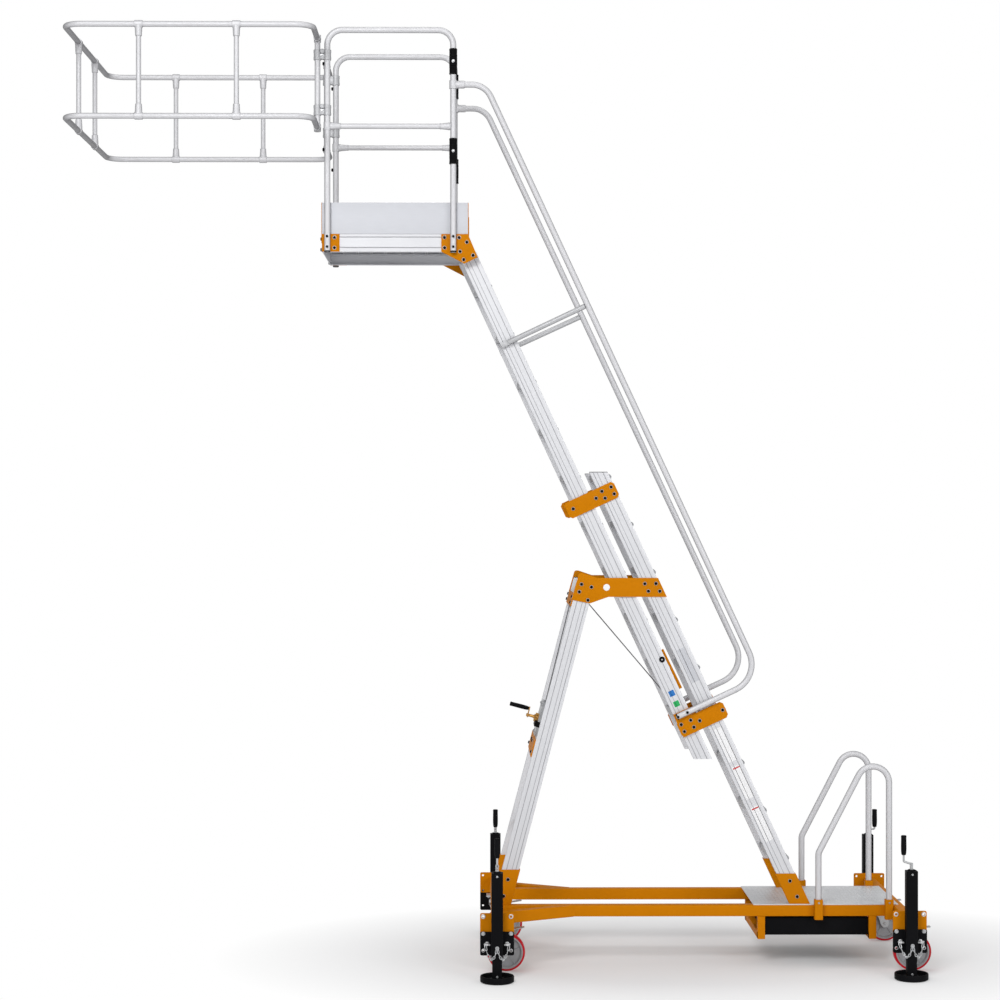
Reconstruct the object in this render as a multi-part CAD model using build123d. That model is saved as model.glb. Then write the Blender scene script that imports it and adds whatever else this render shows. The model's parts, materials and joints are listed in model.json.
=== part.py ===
from build123d import *
import os
from math import acos, atan2, cos, hypot, radians, sin, tan

# Mobile work platform: a wheeled steel base with four screw jacks carries a fixed ladder and a rear
# strut, a second ladder slides along the first one and carries a platform with guard rails and a cage.
# Millimetres. +Z is up, +X points to the entry end, Y is across, and the floor is at Z 0.
# X is measured from the front cross beam until the whole model is centred at the end.

# Clearances and small common sizes
fit_gap = 0.1               # radial gap of a turning fit
seat_gap = 0.3              # gap between a piece and the one that it rests on
slide_gap = 0.5             # gap between a guide and what slides in it
run_gap = 5.0               # gap between a bracket and the ladder that runs past it
overrun = 4.0               # how far a cutting tool passes a face
tube_wall = 2.5             # wall of the round aluminium tubes
sheet = 5.0                 # bracket and gusset sheet

# Base
beam = 60.0                 # square tube of cross beams, rails and braces
beam_wall = 4.0
rail_top = 323.0            # upper face of the base above the floor
rail_y = 262.0              # axis of a long rail
front_reach = 652.0         # end of the front cross beam
rear_reach = 604.0          # end of the rear cross beam
brace_start = 419.0         # where a front brace leaves its rail
brace_y = 505.0             # outer face of a front brace at the cross beam

# Jacks
jack_plate_rise = 25.0      # how far the bored plate stands over the base
jack_plate_height = 217.0
jack_plate_thick = 10.0
jack_bolt_spacing = 144.0
jack_plate_edge = 16.0      # from a column of pin holes to the plate's side
jack_bolt_pitch = 87.0      # between the rows of pin holes
jack_hole_r = 6.5
jack_hole_edge = 17.0       # from the plate's top to the first row of holes
carrier_height = 122.0      # black plate that is pinned on the bored one
sleeve = 60.0
sleeve_wall = 4.0
sleeve_top = 565.0
dish_r = 88.0
dish_height = 34.0
dish_floor = 12.0
dish_rim = 8.0
leg_top = 470.0
crank_fork = 34.0           # height of the fork on the screw
crank_fork_width = 16.0
crank_arm = 40.0            # sideways step of the folding crank
crank_rod_r = 6.0
crank_rise_near = 42.0      # from the fork to the grip of a crank that is swung up
crank_rise_far = 4.0        # and of one that is swung level
grip_r = 12.0
grip_length = 102.0
screw_cap_r = 20.0
screw_cap = 6.0

# Castors
castor_y = 410.0            # from the middle plane to the swivel axis
wheel_r = 100.0
wheel_width = 48.0
hub_width = 58.0
hub_r = 26.0
tread_thick = 12.0
rim_disc = 22.0             # thickness of the wheel between hub and rim
rim_thick = 10.0
castor_trail = 50.0
axle_r = 6.0
fork_sheet = 6.0
fork_gap = 2.0              # between hub and fork
fork_crown = 216.0          # top of the fork's crown
race_top = 238.0
race_r = 38.0
king_r = 26.0
castor_plate = 8.0
castor_plate_length = 105.0
castor_plate_width = 85.0
pedal_width = 40.0
pedal_thick = 6.0
pedal_reach = 148.0         # tip of the brake pedal from the swivel axis
pedal_tip = 226.0

# Step deck, ballast and entry handrails
step_deck_start = 252.0     # from the ladder's foot forward to the deck's edge
step_deck_thick = 5.0
step_deck_y = 290.0
hanger = 40.0
hanger_wall = 3.0
hanger_front = 43.0         # from the deck's front edge to the front hanger's axis
hanger_rear = 137.0         # from the rear beam's axis to the rear hanger's axis
hanger_bottom = 141.0
ballast_y = 270.0
ballast_top = 254.0
ballast_bottom = 160.0
entry_tube_r = 16.5
entry_step = 93.0           # from the ladder's foot to the handrail's front leg
entry_inset = 54.0          # from the rear beam's axis to the handrail's rear leg
entry_knee = 605.0          # height where the handrail starts to lean
entry_lean = 62.6
entry_arch_r = 86.0
entry_knee_r = 60.0
socket_size = 44.0
socket_rise = 34.0
socket_drop = 12.0

# Ladders
ladder_lean = 65.0
stile_depth = 90.0
stile_width = 30.0
stile_wall = 3.0
stile_y = 262.0
groove_share = 0.62         # part of the stile's depth that is set back on its outer face
groove_depth = 1.5
ladder_foot = 1627.0        # axis of the fixed ladder at the height of the base
entry_run = 525.0           # from there to the axis of the rear cross beam
ladder_top = 2641.0
mast_offset = 142.0         # between the axes of the two ladders, across them
mast_bottom = 1103.0
tread_rise = 256.0
tread_thick = 30.0
tread_depth = 96.0
tread_wall = 2.5
tread_first = 568.0
tread_nose = 10.0           # by which a tread stands in front of the stile
mast_tread_nose = 3.0
mast_tread_rise = 232.0     # from the sliding ladder's lower end to its first tread

# Brackets of the ladders
foot_height = 167.0
foot_margin = 5.0           # how far a bracket reaches past the stile that it holds
bracket_height = 92.0       # along the ladder
bracket_corner = 14.0
guide_drop = 120.6          # from the fixed ladder's top down to the guide bracket's middle, along it
carriage_rise = 196.1       # from the sliding ladder's end up to the carriage bracket's middle, along it
roller_outset = 19.0        # from a stile's edge to the outer roller's axis
bracket_outset = 36.0
head_drop = 38.0            # from the strut's top to the head bracket's middle
head_height = 102.0
head_lobe_up = 77.0
head_lobe_down = 76.0
head_hole_r = 18.0
head_hole_step = 116.2      # from the strut's axis to the hole
head_corner_r = 12.0
head_plug = 3.0             # thickness of the plug in the hole
head_lobe_step = 15.0       # from the strut's axis back to the upper lobe's end
head_lobe_slope = 10.0      # by which the lower lobe's edge leaves the level

# Strut
strut_lean = 75.25
strut_foot = 25.0
strut_drop = 579.0          # from the fixed ladder's top down to the strut's top
strut_foot_height = 190.0
cross_tube_r = 17.0
cross_heights = (700.0, 1640.0)

# Winch and wire
winch_z = 1300.0
winch_y = 90.0
winch_depth = 84.0
winch_height = 194.0
winch_sheet = 6.0
winch_plate_height = 96.0
drum_r = 26.0
flange_r = 39.0
winch_shaft_r = 8.0
winch_shaft = 62.0
winch_arm = 70.0
winch_arm_width = 20.0
winch_grip_r = 12.0
winch_grip = 107.0
pulley_r = 40.0
pulley_width = 22.0
pulley_groove = 6.0
pulley_pin_r = 8.0
pulley_drop = 84.0          # from the head bracket's middle down to the pulley's axis
pulley_set = 5.4            # from the strut's axis forward to the pulley's axis
wire_r = 3.0
lug_rise = 28.0             # from the tread's top to the wire's end
lug_size = 34.0
lug_thick = 12.0
wire_share = 0.68           # part of the wire's slanting run that stays clear of the sliding ladder

# Platform
platform_y = 329.0          # outer face of the deck's side profiles
platform_length = 778.0
platform_rear = 5.0         # from the sliding stile's axis to the deck's rear edge
deck_top = 3909.0
deck_depth = 94.0
deck_wall = 4.0
deck_edge = 30.0
board_thick = 34.0
board_pitch = 74.0
board_gap = 6.0
board_rib = 3.0
toe_height = 168.0
toe_thick = 3.0
post_r = 16.0
post_inset_front = 30.0
post_inset_rear = 78.0
post_drop = 101.0           # from the deck's top down to the post's end
guard_rise = 1083.0
guard_bend = 80.0
mid_rise = 571.0
mid_r = 14.0
tee_r = 20.0
tee_length = 54.0
corner_length = 94.0
gusset_front = 142.0        # from the deck's rear edge forward
gusset_lift = 15.0          # from the deck's underside on the ladder's axis up to the gusset's tip

# Spring hinges and gate leaves
hinge_r = 21.5
hinge_height = 137.0
hinge_low = 133.0           # from the mid rail down to the lower hinge
hinge_high = 168.0          # from the guard rail's top down to the upper hinge
knuckle_share = 0.36
leaf_r = 12.5
leaf_width = 318.0
leaf_bend = 70.0

# Cage
cage_y = 705.0
cage_length = 1286.0
cage_link = 52.0            # between the platform's front post and the cage's end post
cage_drop = 48.0            # from the guard rail down to the cage's upper rail
cage_low = 10.0             # from the mid rail down to the cage's lower rail
cage_r = 15.0
cage_bend = 90.0
cage_post_r = 13.0
cage_post_x = (390.0, 894.0)
cage_front_post_y = 250.0
collar_r = 19.5
collar_length = 42.0
cone_length = 44.0
coupler_r = 21.0
coupler_height = 54.0
coupler_inset = (94.0, 86.0)
coupler_bridge = 14.0

# Long stair handrails
stair_r = 16.0
stair_drop = 290.0          # from the guard rail's top down to the level part
stair_ahead = 462.8         # from the sliding ladder's axis to the slanting part
stair_end_rise = 71.0       # from the carriage bracket's middle up to the lower end, along the ladder
stair_top_bend = 110.0
stair_low_bend = 150.0
arm_r = 14.0
arm_drop = 479.0            # from the deck's underside down to the arm

lean = radians(ladder_lean)
strut_angle = radians(strut_lean)
rail_bottom = rail_top - beam
stile_out = stile_y + stile_width / 2
stile_in = stile_y - stile_width / 2
bracket_out = stile_out + sheet
mast_out = stile_out - run_gap
mast_in = mast_out - stile_width
carriage_in = stile_out + run_gap
carriage_out = carriage_in + sheet
rail_out = rail_y + beam / 2
post_y = platform_y + sheet + post_r
wheel_base = ladder_foot + entry_run
deck_start = ladder_foot - step_deck_start
hanger_x = (deck_start + hanger_front, wheel_base - hanger_rear)
entry_front = ladder_foot + entry_step
entry_rear = wheel_base - entry_inset
strut_top = ladder_top - strut_drop
head_mid = strut_top - head_drop
deck_floor = deck_top - deck_depth
post_bottom = deck_top - post_drop
guard_top = deck_top + guard_rise
mid_height = deck_top + mid_rise
hinge_heights = (mid_height - hinge_low, guard_top - hinge_high)
cage_top = guard_top - cage_drop
cage_bottom = mid_height - cage_low
coupler_heights = (cage_bottom + coupler_inset[0], cage_top - coupler_inset[1])
stair_top = guard_top - stair_drop
arm_z = deck_floor - arm_drop
mast_tread_first = mast_bottom + mast_tread_rise
tread_room = tread_thick / 2 + foot_margin
fixed_treads = 1 + int((ladder_top - tread_room - tread_first) // tread_rise)
mast_treads = 1 + int((deck_floor - tread_room - mast_tread_first) // tread_rise)
guide_mid = (ladder_top - rail_top) / sin(lean) - guide_drop
carriage_mid = (mast_bottom - rail_top + mast_offset * cos(lean)) / sin(lean) + carriage_rise
stair_end_u = carriage_mid + stair_end_rise


def on_ladder(u, v):
    """X and Z of a point u up the fixed ladder from its foot and v in front of its axis."""
    return (ladder_foot - u * cos(lean) + v * sin(lean), rail_top + u * sin(lean) + v * cos(lean))


def ladder_x(z, v=0.0):
    """X of a line that runs v in front of the fixed ladder's axis, at height z."""
    return ladder_foot - (z - rail_top) / tan(lean) + v / sin(lean)


def strut_x(z, w=0.0):
    """X of a line that runs w behind the strut's axis, at height z."""
    return strut_foot + (z - rail_top) / tan(strut_angle) + w / sin(strut_angle)


platform_back = ladder_x(deck_floor, -mast_offset) + platform_rear
platform_front = platform_back - platform_length
front_post_x = platform_front + post_inset_front
rear_post_x = platform_back - post_inset_rear
cage_back = front_post_x - cage_link
cage_front = cage_back - cage_length


def box(x0, x1, y0, y1, z0, z1):
    """A block between two corners."""
    middle = Pos((x0 + x1) / 2, (y0 + y1) / 2, (z0 + z1) / 2)
    return middle * Box(abs(x1 - x0), abs(y1 - y0), abs(z1 - z0))


def side_plate(points, y0, y1):
    """A plate with an outline of X, Z points, between two values of Y."""
    outline = Polyline(*[(x, y0, z) for x, z in points], close=True)
    return extrude(make_face(outline), amount=y1 - y0, dir=(0, 1, 0))


def cross_rod(x, z, r, y0, y1):
    """A round bar across the machine."""
    return Pos(x, (y0 + y1) / 2, z) * Rot(90, 0, 0) * Cylinder(r, abs(y1 - y0))


def upright(x, y, r, z0, z1):
    """A round upright bar."""
    return Pos(x, y, (z0 + z1) / 2) * Cylinder(r, z1 - z0)


def bent_tube(points, bends, r, wall=tube_wall):
    """A round tube along straight runs that are joined by bends."""
    path = FilletPolyline(*points, radius=bends) if bends else Polyline(*points)
    start = Plane(origin=path @ 0, z_dir=path % 0)
    ring = Circle(r) - Circle(r - wall)
    return sweep(start * ring, path=path)


def both_sides(piece):
    """The piece and its mirror image across the middle plane."""
    return [piece, mirror(piece, about=Plane.XZ)]


def square_tube_y(x, z, size, wall, y0, y1):
    """A square tube across the machine, open at its ends."""
    half = size / 2
    core = half - wall
    outer = box(x - half, x + half, y0, y1, z - half, z + half)
    return outer - box(x - core, x + core, y0 - overrun, y1 + overrun, z - core, z + core)


def lean_outline(x_at, z0, z1, half):
    """Corners of a leaning band with level ends, half as wide as its depth on each side of its axis."""
    return [(x_at(z0, -half), z0), (x_at(z0, half), z0), (x_at(z1, half), z1), (x_at(z1, -half), z1)]


def stile(x_at, z0, z1, outer):
    """A ladder stile on the left side, with level ends and a groove along its outer face."""
    half = stile_depth / 2
    inner = outer - stile_width
    low, high = z0 - overrun, z1 + overrun
    body = side_plate(lean_outline(x_at, z0, z1, half), -outer, -inner)
    core = lean_outline(x_at, low, high, half - stile_wall)
    groove = lean_outline(x_at, low, high, half * groove_share)
    body -= side_plate(core, -outer + stile_wall, -inner - stile_wall)
    return body - side_plate(groove, -outer - overrun, -outer + groove_depth)


def mast_x(z, v=0.0):
    """X of a line that runs v in front of the sliding ladder's axis, at height z."""
    return ladder_x(z, v - mast_offset)


def tread(x_nose, z, reach):
    """A hollow tread between the stiles, with a rounded nose."""
    half = tread_thick / 2
    back = x_nose - tread_depth
    nose = x_nose - half
    core = half - tread_wall
    past = reach + overrun
    outer = box(back, nose, -reach, reach, z - half, z + half) + cross_rod(nose, z, half, -reach, reach)
    inner = box(back + tread_wall, nose, -past, past, z - core, z + core)
    return outer - inner - cross_rod(nose, z, core, -past, past)


def ladder_plate(u_mid, v0, v1, y0, y1):
    """A plate across both ladders with cut corners, its length at right angles to them."""
    u0, u1 = u_mid - bracket_height / 2, u_mid + bracket_height / 2
    cut = bracket_corner
    outline = [(u0, v0 + cut), (u0, v1 - cut), (u0 + cut, v1), (u1 - cut, v1),
               (u1, v1 - cut), (u1, v0 + cut), (u1 - cut, v0), (u0 + cut, v0)]
    return side_plate([on_ladder(u, v) for u, v in outline], y0, y1)


def ladder_roller(u, v, r, outer, inner):
    """A guide roller beside the stiles, on the inner face of a bracket."""
    x, z = on_ladder(u, v)
    return cross_rod(x, z, r, -outer, -inner)


nodes = {}

# Base frame
beam_table = [
    # x of the axis, reach to each side
    (0.0, front_reach),
    (wheel_base, rear_reach),
]
beam_z = rail_top - beam / 2
nodes["cross_beams"] = []
for x, reach in beam_table:
    nodes["cross_beams"].append(square_tube_y(x, beam_z, beam, beam_wall, -reach, reach))

rail_start, rail_end = beam / 2, wheel_base - beam / 2
core = beam / 2 - beam_wall
rail = box(rail_start, rail_end, -rail_out, -rail_out + beam, rail_bottom, rail_top)
rail -= box(rail_start - overrun, rail_end + overrun, -rail_y - core, -rail_y + core,
            beam_z - core, beam_z + core)
nodes["base_rails"] = both_sides(rail)

brace_slope = (brace_y - rail_out) / (brace_start - rail_start)
brace_width = beam * hypot(1.0, brace_slope)
inner_end = brace_y - brace_width
brace_points = [(rail_start, -brace_y), (brace_start, -rail_out), (rail_start, -rail_out)]
inner_x = brace_start - brace_width / brace_slope
if inner_x > rail_start:
    brace_points = [(rail_start, -brace_y), (brace_start, -rail_out), (inner_x, -rail_out),
                    (rail_start, -inner_end)]
brace_outline = Polyline(*[(x, y, rail_bottom) for x, y in brace_points], close=True)
nodes["front_braces"] = both_sides(extrude(make_face(brace_outline), amount=beam, dir=(0, 0, 1)))

# Jacks: bored plate on the beam's end, carrier plate and sleeve, leg with dish foot, folding crank
jack_table = [
    # name, x of the axis, reach of the beam, side, crank step along X, crank step along Y, crank rise
    ("front_left", 0.0, front_reach, -1, 0, -1, crank_rise_near),
    ("front_right", 0.0, front_reach, 1, 0, -1, crank_rise_far),
    ("rear_left", wheel_base, rear_reach, -1, -1, 0, crank_rise_near),
    ("rear_right", wheel_base, rear_reach, 1, 1, 0, crank_rise_far),
]
plate_top = rail_top + jack_plate_rise
plate_bottom = plate_top - jack_plate_height
carrier_top = plate_bottom + carrier_height
hole_top = plate_top - jack_hole_edge
half_plate = jack_bolt_spacing / 2 + jack_plate_edge
half_sleeve = sleeve / 2
sleeve_bore = half_sleeve - sleeve_wall
leg_half = sleeve_bore - slide_gap
jack_offset = 2 * jack_plate_thick + half_sleeve
for key in ("jack_plates", "jack_sleeves", "cranks", "crank_grips"):
    nodes[key] = []
for name, x, reach, side, step_x, step_y, crank_rise in jack_table:
    inner, outer = side * reach, side * (reach + jack_plate_thick)
    plate = box(x - half_plate, x + half_plate, inner, outer, plate_bottom, plate_top)
    carrier_out = side * (reach + 2 * jack_plate_thick)
    carrier = box(x - half_plate, x + half_plate, outer, carrier_out, plate_bottom, carrier_top)
    for column in (-1, 1):
        for row in (0, 1, 2):
            hole_x, hole_z = x + column * jack_bolt_spacing / 2, hole_top - row * jack_bolt_pitch
            hole = cross_rod(hole_x, hole_z, jack_hole_r, inner - side * overrun,
                             carrier_out + side * overrun)
            plate -= hole
            carrier -= hole
    nodes["jack_plates"].append(plate)
    axis_y = side * (reach + jack_offset)
    tube = box(x - half_sleeve, x + half_sleeve, axis_y - half_sleeve, axis_y + half_sleeve,
               plate_bottom, sleeve_top)
    cap = upright(x, axis_y, screw_cap_r, sleeve_top, sleeve_top + screw_cap)
    bore = box(x - sleeve_bore, x + sleeve_bore, axis_y - sleeve_bore, axis_y + sleeve_bore,
               plate_bottom - overrun, sleeve_top - sleeve_wall)
    nodes["jack_sleeves"].append(carrier + tube + cap - bore)

    leg = box(x - leg_half, x + leg_half, axis_y - leg_half, axis_y + leg_half, dish_floor, leg_top)
    dish = upright(x, axis_y, dish_r, 0.0, dish_height)
    dish -= upright(x, axis_y, dish_r - dish_rim, dish_floor, dish_height + overrun)
    nodes["jack_leg_" + name] = [dish + leg]

    fork_base = sleeve_top + screw_cap
    fork_top = fork_base + crank_fork
    half_fork = crank_fork_width / 2
    grip_x, grip_y = x + step_x * crank_arm, axis_y + step_y * crank_arm
    grip_base = fork_top + crank_rise
    fork = box(x - half_fork, x + half_fork, axis_y - half_fork, axis_y + half_fork, fork_base, fork_top)
    reach_low = fork_top - half_fork
    knee_z = min(fork_top + half_fork, grip_base - grip_r)
    arm = bent_tube([(x, axis_y, fork_base + half_fork), (x, axis_y, reach_low),
                     (grip_x, grip_y, knee_z), (grip_x, grip_y, grip_base + grip_length / 2)],
                    (crank_rod_r, crank_rod_r), crank_rod_r, crank_rod_r / 2)
    nodes["cranks"].append(fork + arm)
    grip = upright(grip_x, grip_y, grip_r, grip_base, grip_base + grip_length)
    nodes["crank_grips"].append(grip - upright(grip_x, grip_y, crank_rod_r + fit_gap, grip_base - overrun,
                                              grip_base + grip_length / 2 + overrun))

# Castors
wheel_z = wheel_r
castor_table = [
    # name, x of the swivel axis, side
    ("front_left", 0.0, -1),
    ("front_right", 0.0, 1),
    ("rear_left", wheel_base, -1),
    ("rear_right", wheel_base, 1),
]
nodes["castor_plates"] = []
half_fork_gap = hub_width / 2 + fork_gap
rim_r = wheel_r - tread_thick
for name, x, side in castor_table:
    y = side * castor_y
    half_x, half_y = castor_plate_length / 2, castor_plate_width / 2
    plate = box(x - half_x, x + half_x, y - half_y, y + half_y, rail_bottom - castor_plate, rail_bottom)
    plate += upright(x, y, king_r, race_top + slide_gap, rail_bottom - castor_plate)
    nodes["castor_plates"].append(plate)

    wheel_x = x + castor_trail
    fork = upright(x, y, race_r, fork_crown, race_top)
    crown_half = half_fork_gap + fork_sheet
    fork += box(x - race_r, wheel_x, y - crown_half, y + crown_half, fork_crown - fork_sheet, fork_crown)
    for cheek in (-1, 1):
        y0, y1 = y + cheek * half_fork_gap, y + cheek * crown_half
        cheek_points = [(x - race_r, fork_crown), (wheel_x, fork_crown), (wheel_x + hub_r, wheel_z),
                        (wheel_x, wheel_z - hub_r), (wheel_x - hub_r, wheel_z)]
        fork += side_plate(cheek_points, min(y0, y1), max(y0, y1))
    fork += cross_rod(wheel_x, wheel_z, axle_r, y - crown_half, y + crown_half)
    half_pedal = pedal_width / 2
    pedal_end = x + pedal_reach
    pedal_points = [(x, fork_crown - fork_sheet), (wheel_x, fork_crown - fork_sheet), (pedal_end, pedal_tip),
                    (pedal_end, pedal_tip + pedal_thick), (wheel_x, fork_crown), (x, fork_crown)]
    fork += side_plate(pedal_points, y - half_pedal, y + half_pedal)
    nodes["castor_fork_" + name] = [fork]

    half_w, half_hub, half_disc = wheel_width / 2, hub_width / 2, rim_disc / 2
    bore_r = axle_r + fit_gap
    rim_in = rim_r - rim_thick
    section = [(bore_r, half_hub), (hub_r, half_hub), (hub_r, half_disc), (rim_in, half_disc),
               (rim_in, half_w), (wheel_r, half_w), (wheel_r, -half_w), (rim_in, -half_w),
               (rim_in, -half_disc), (hub_r, -half_disc), (hub_r, -half_hub), (bore_r, -half_hub)]
    outline = Polyline(*[(wheel_x + r, y + w, wheel_z) for r, w in section], close=True)
    nodes["wheel_" + name] = [revolve(make_face(outline), axis=Axis((wheel_x, y, wheel_z), (0, 1, 0)))]

# Step deck, hangers and ballast
nodes["step_deck"] = [box(deck_start, wheel_base, -step_deck_y, step_deck_y,
                          rail_top, rail_top + step_deck_thick)]
hanger_half, hanger_core = hanger / 2, hanger / 2 - hanger_wall
nodes["ballast_hangers"] = []
for x in hanger_x:
    outer = box(x - hanger_half, x + hanger_half, -rail_out, rail_out, hanger_bottom, rail_bottom)
    window = box(x - hanger_half - overrun, x + hanger_half + overrun, -rail_out + hanger, rail_out - hanger,
                 hanger_bottom + hanger, rail_bottom + overrun)
    nodes["ballast_hangers"].append(outer - window)
nodes["ballast_box"] = [box(hanger_x[0] + hanger_half, hanger_x[1] - hanger_half, -ballast_y, ballast_y,
                            ballast_bottom, ballast_top)]

# Entry handrails and their sockets
entry_y = rail_out + socket_size / 2
entry_low = rail_bottom
corner_z = entry_knee + (entry_rear - entry_front) * tan(radians(entry_lean))
entry = bent_tube([(entry_front, -entry_y, entry_low), (entry_front, -entry_y, entry_knee),
                   (entry_rear, -entry_y, corner_z), (entry_rear, -entry_y, entry_low)],
                  (entry_knee_r, entry_arch_r), entry_tube_r)
nodes["entry_handrails"] = both_sides(entry)
nodes["handrail_sockets"] = []
for x in (entry_front, entry_rear):
    half = socket_size / 2
    socket_top = rail_top + socket_rise
    socket = box(x - half, x + half, -entry_y - half, -rail_out, rail_bottom - socket_drop, socket_top)
    socket -= upright(x, -entry_y, entry_tube_r + fit_gap, rail_bottom, socket_top + overrun)
    nodes["handrail_sockets"] += both_sides(socket)

# Fixed ladder
stile_base = rail_top + step_deck_thick + sheet
nodes["fixed_stiles"] = both_sides(stile(ladder_x, stile_base, ladder_top, stile_out))
nodes["fixed_treads"] = []
for i in range(fixed_treads):
    z = tread_first + i * tread_rise
    nodes["fixed_treads"].append(tread(ladder_x(z, stile_depth / 2) + tread_nose, z, stile_in))

foot_half = stile_depth / 2 + foot_margin


def foot_bracket(x_at, z0, z_seat, z1):
    """A bracket that holds a stile's foot between two plates over a base plate."""
    cheeks = lean_outline(x_at, z0, z1, foot_half)
    bracket = side_plate(cheeks, -bracket_out, -stile_out) + side_plate(cheeks, -stile_in, -stile_in + sheet)
    return bracket + side_plate(lean_outline(x_at, z0, z_seat, foot_half), -bracket_out, -stile_in + sheet)


foot_low = rail_top + step_deck_thick
foot_high = rail_top + foot_height
nodes["ladder_foot_brackets"] = both_sides(foot_bracket(ladder_x, foot_low, stile_base, foot_high))

# Strut
strut_base = rail_top + sheet
nodes["strut_stiles"] = both_sides(stile(strut_x, strut_base, strut_top, stile_out))
strut_high = rail_top + strut_foot_height
nodes["strut_foot_brackets"] = both_sides(foot_bracket(strut_x, rail_top, strut_base, strut_high))
nodes["strut_cross_tubes"] = []
for z in cross_heights:
    tube = cross_rod(strut_x(z), z, cross_tube_r, -stile_in, stile_in)
    bore = cross_rod(strut_x(z), z, cross_tube_r - tube_wall, -stile_in - overrun, stile_in + overrun)
    nodes["strut_cross_tubes"].append(tube - bore)

# Head brackets between the strut and the fixed ladder
half_strut = stile_depth / 2
head_low, head_high = head_mid - head_height / 2, head_mid + head_height / 2
lobe_low, lobe_high = head_mid - head_lobe_down, head_mid + head_lobe_up
head_outline = [
    (strut_x(lobe_high, -half_strut - foot_margin), lobe_high),
    (strut_x(lobe_high, head_lobe_step - half_strut), lobe_high),
    (strut_x(head_high, half_strut + foot_margin), head_high),
    (ladder_x(head_high, stile_depth / 2 + foot_margin), head_high),
    (ladder_x(head_low, stile_depth / 2 + foot_margin), head_low),
    (strut_x(head_low, half_strut + stile_depth), head_low),
    (strut_x(lobe_low, half_strut), lobe_low - head_lobe_slope),
    (strut_x(lobe_low, -half_strut - foot_margin), lobe_low + head_lobe_slope),
]
head = side_plate(head_outline, -bracket_out, -stile_out)
head_hole_x = strut_x(head_mid) + head_hole_step
head -= cross_rod(head_hole_x, head_mid, head_hole_r, -bracket_out - overrun, -stile_out + overrun)
head = fillet(head.edges().filter_by(Axis.Y).sort_by(Axis.X)[:2], head_corner_r)
nodes["head_brackets"] = both_sides(head)
plug = cross_rod(head_hole_x, head_mid, head_hole_r - fit_gap, -bracket_out, -bracket_out + head_plug)
nodes["head_plugs"] = both_sides(plug)

# Guide brackets on the fixed ladder's top, carriage brackets on the sliding ladder's foot
half_gap = (mast_offset - stile_depth) / 2
gap_roller_r = half_gap - slide_gap
edge_roller_r = roller_outset - slide_gap
half_stile = stile_depth / 2
guide_far = -mast_offset - half_stile - bracket_outset - roller_outset
guide = ladder_plate(guide_mid, guide_far, half_stile + sheet, -bracket_out, -stile_out)
for v, r in ((-mast_offset / 2, gap_roller_r), (-mast_offset - half_stile - roller_outset, edge_roller_r)):
    guide += ladder_roller(guide_mid, v, r, stile_out + sheet / 2, mast_in)
nodes["guide_brackets"] = both_sides(guide)
carriage = ladder_plate(carriage_mid, -mast_offset - half_stile - sheet, half_stile + bracket_outset,
                        -carriage_out, -carriage_in)
pad_low, pad_high = carriage_mid - bracket_height / 2, stair_end_u + stair_r
pad = [on_ladder(u, v - mast_offset) for u, v in ((pad_low, -half_stile), (pad_low, half_stile),
                                                  (pad_high, half_stile), (pad_high, -half_stile))]
carriage += side_plate(pad, -carriage_out, -mast_out)
for v, r in ((-mast_offset / 2, gap_roller_r), (half_stile + roller_outset, edge_roller_r)):
    carriage += ladder_roller(carriage_mid, v, r, carriage_in + sheet / 2, stile_in)
nodes["carriage_brackets"] = both_sides(carriage)

# Winch on the strut, head pulley and wire
slope_x, slope_z = -sin(strut_angle), cos(strut_angle)


def at_strut(along, out):
    """X and Z of a point along the strut from the winch's middle and out of its front face."""
    x, z = strut_x(winch_z, -half_strut), winch_z
    return (x + along * cos(strut_angle) + out * slope_x, z + along * sin(strut_angle) + out * slope_z)


def strut_block(along0, along1, out0, out1, y0, y1):
    """A block that is square to the strut."""
    corners = [(along0, out0), (along1, out0), (along1, out1), (along0, out1)]
    return side_plate([at_strut(a, o) for a, o in corners], y0, y1)


def strut_rod(along, out0, out1, r, y=0.0):
    """A round bar that points out of the strut's front face."""
    x, z = at_strut(along, (out0 + out1) / 2)
    direction = Plane(origin=(x, y, z), z_dir=(slope_x, 0, slope_z))
    return direction * Cylinder(r, abs(out1 - out0))


half_winch = winch_height / 2
winch_low = -half_winch - winch_plate_height
back_plate = strut_block(winch_low, -half_winch, 0.0, winch_sheet, -stile_out, stile_out)
back_plate += strut_block(-half_winch, half_winch, 0.0, winch_sheet, -winch_y, winch_y)
cheek_in = winch_y - winch_sheet
cheeks = [strut_block(-half_winch, half_winch, -winch_depth, 0.0, side * winch_y, side * cheek_in)
          for side in (-1, 1)]
drum_x, drum_z = at_strut(0.0, -winch_depth / 2)
drum = cross_rod(drum_x, drum_z, drum_r, -winch_y, winch_y)
winch = back_plate + drum + strut_rod(0.0, 0.0, winch_shaft, winch_shaft_r)
for cheek in cheeks:
    winch += cheek
for side in (-1, 1):
    inside = side * cheek_in
    winch += cross_rod(drum_x, drum_z, flange_r, inside - side * winch_sheet, inside)
nodes["winch"] = [winch]
arm_half = winch_arm_width / 2
arm_out = winch_shaft + winch_sheet
arm_end = winch_arm + arm_half
nodes["cranks"].append(strut_block(-arm_half, arm_end, winch_shaft, arm_out, -arm_half, arm_half))
nodes["crank_grips"].append(strut_rod(winch_arm, arm_out, arm_out + winch_grip, winch_grip_r))

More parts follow.
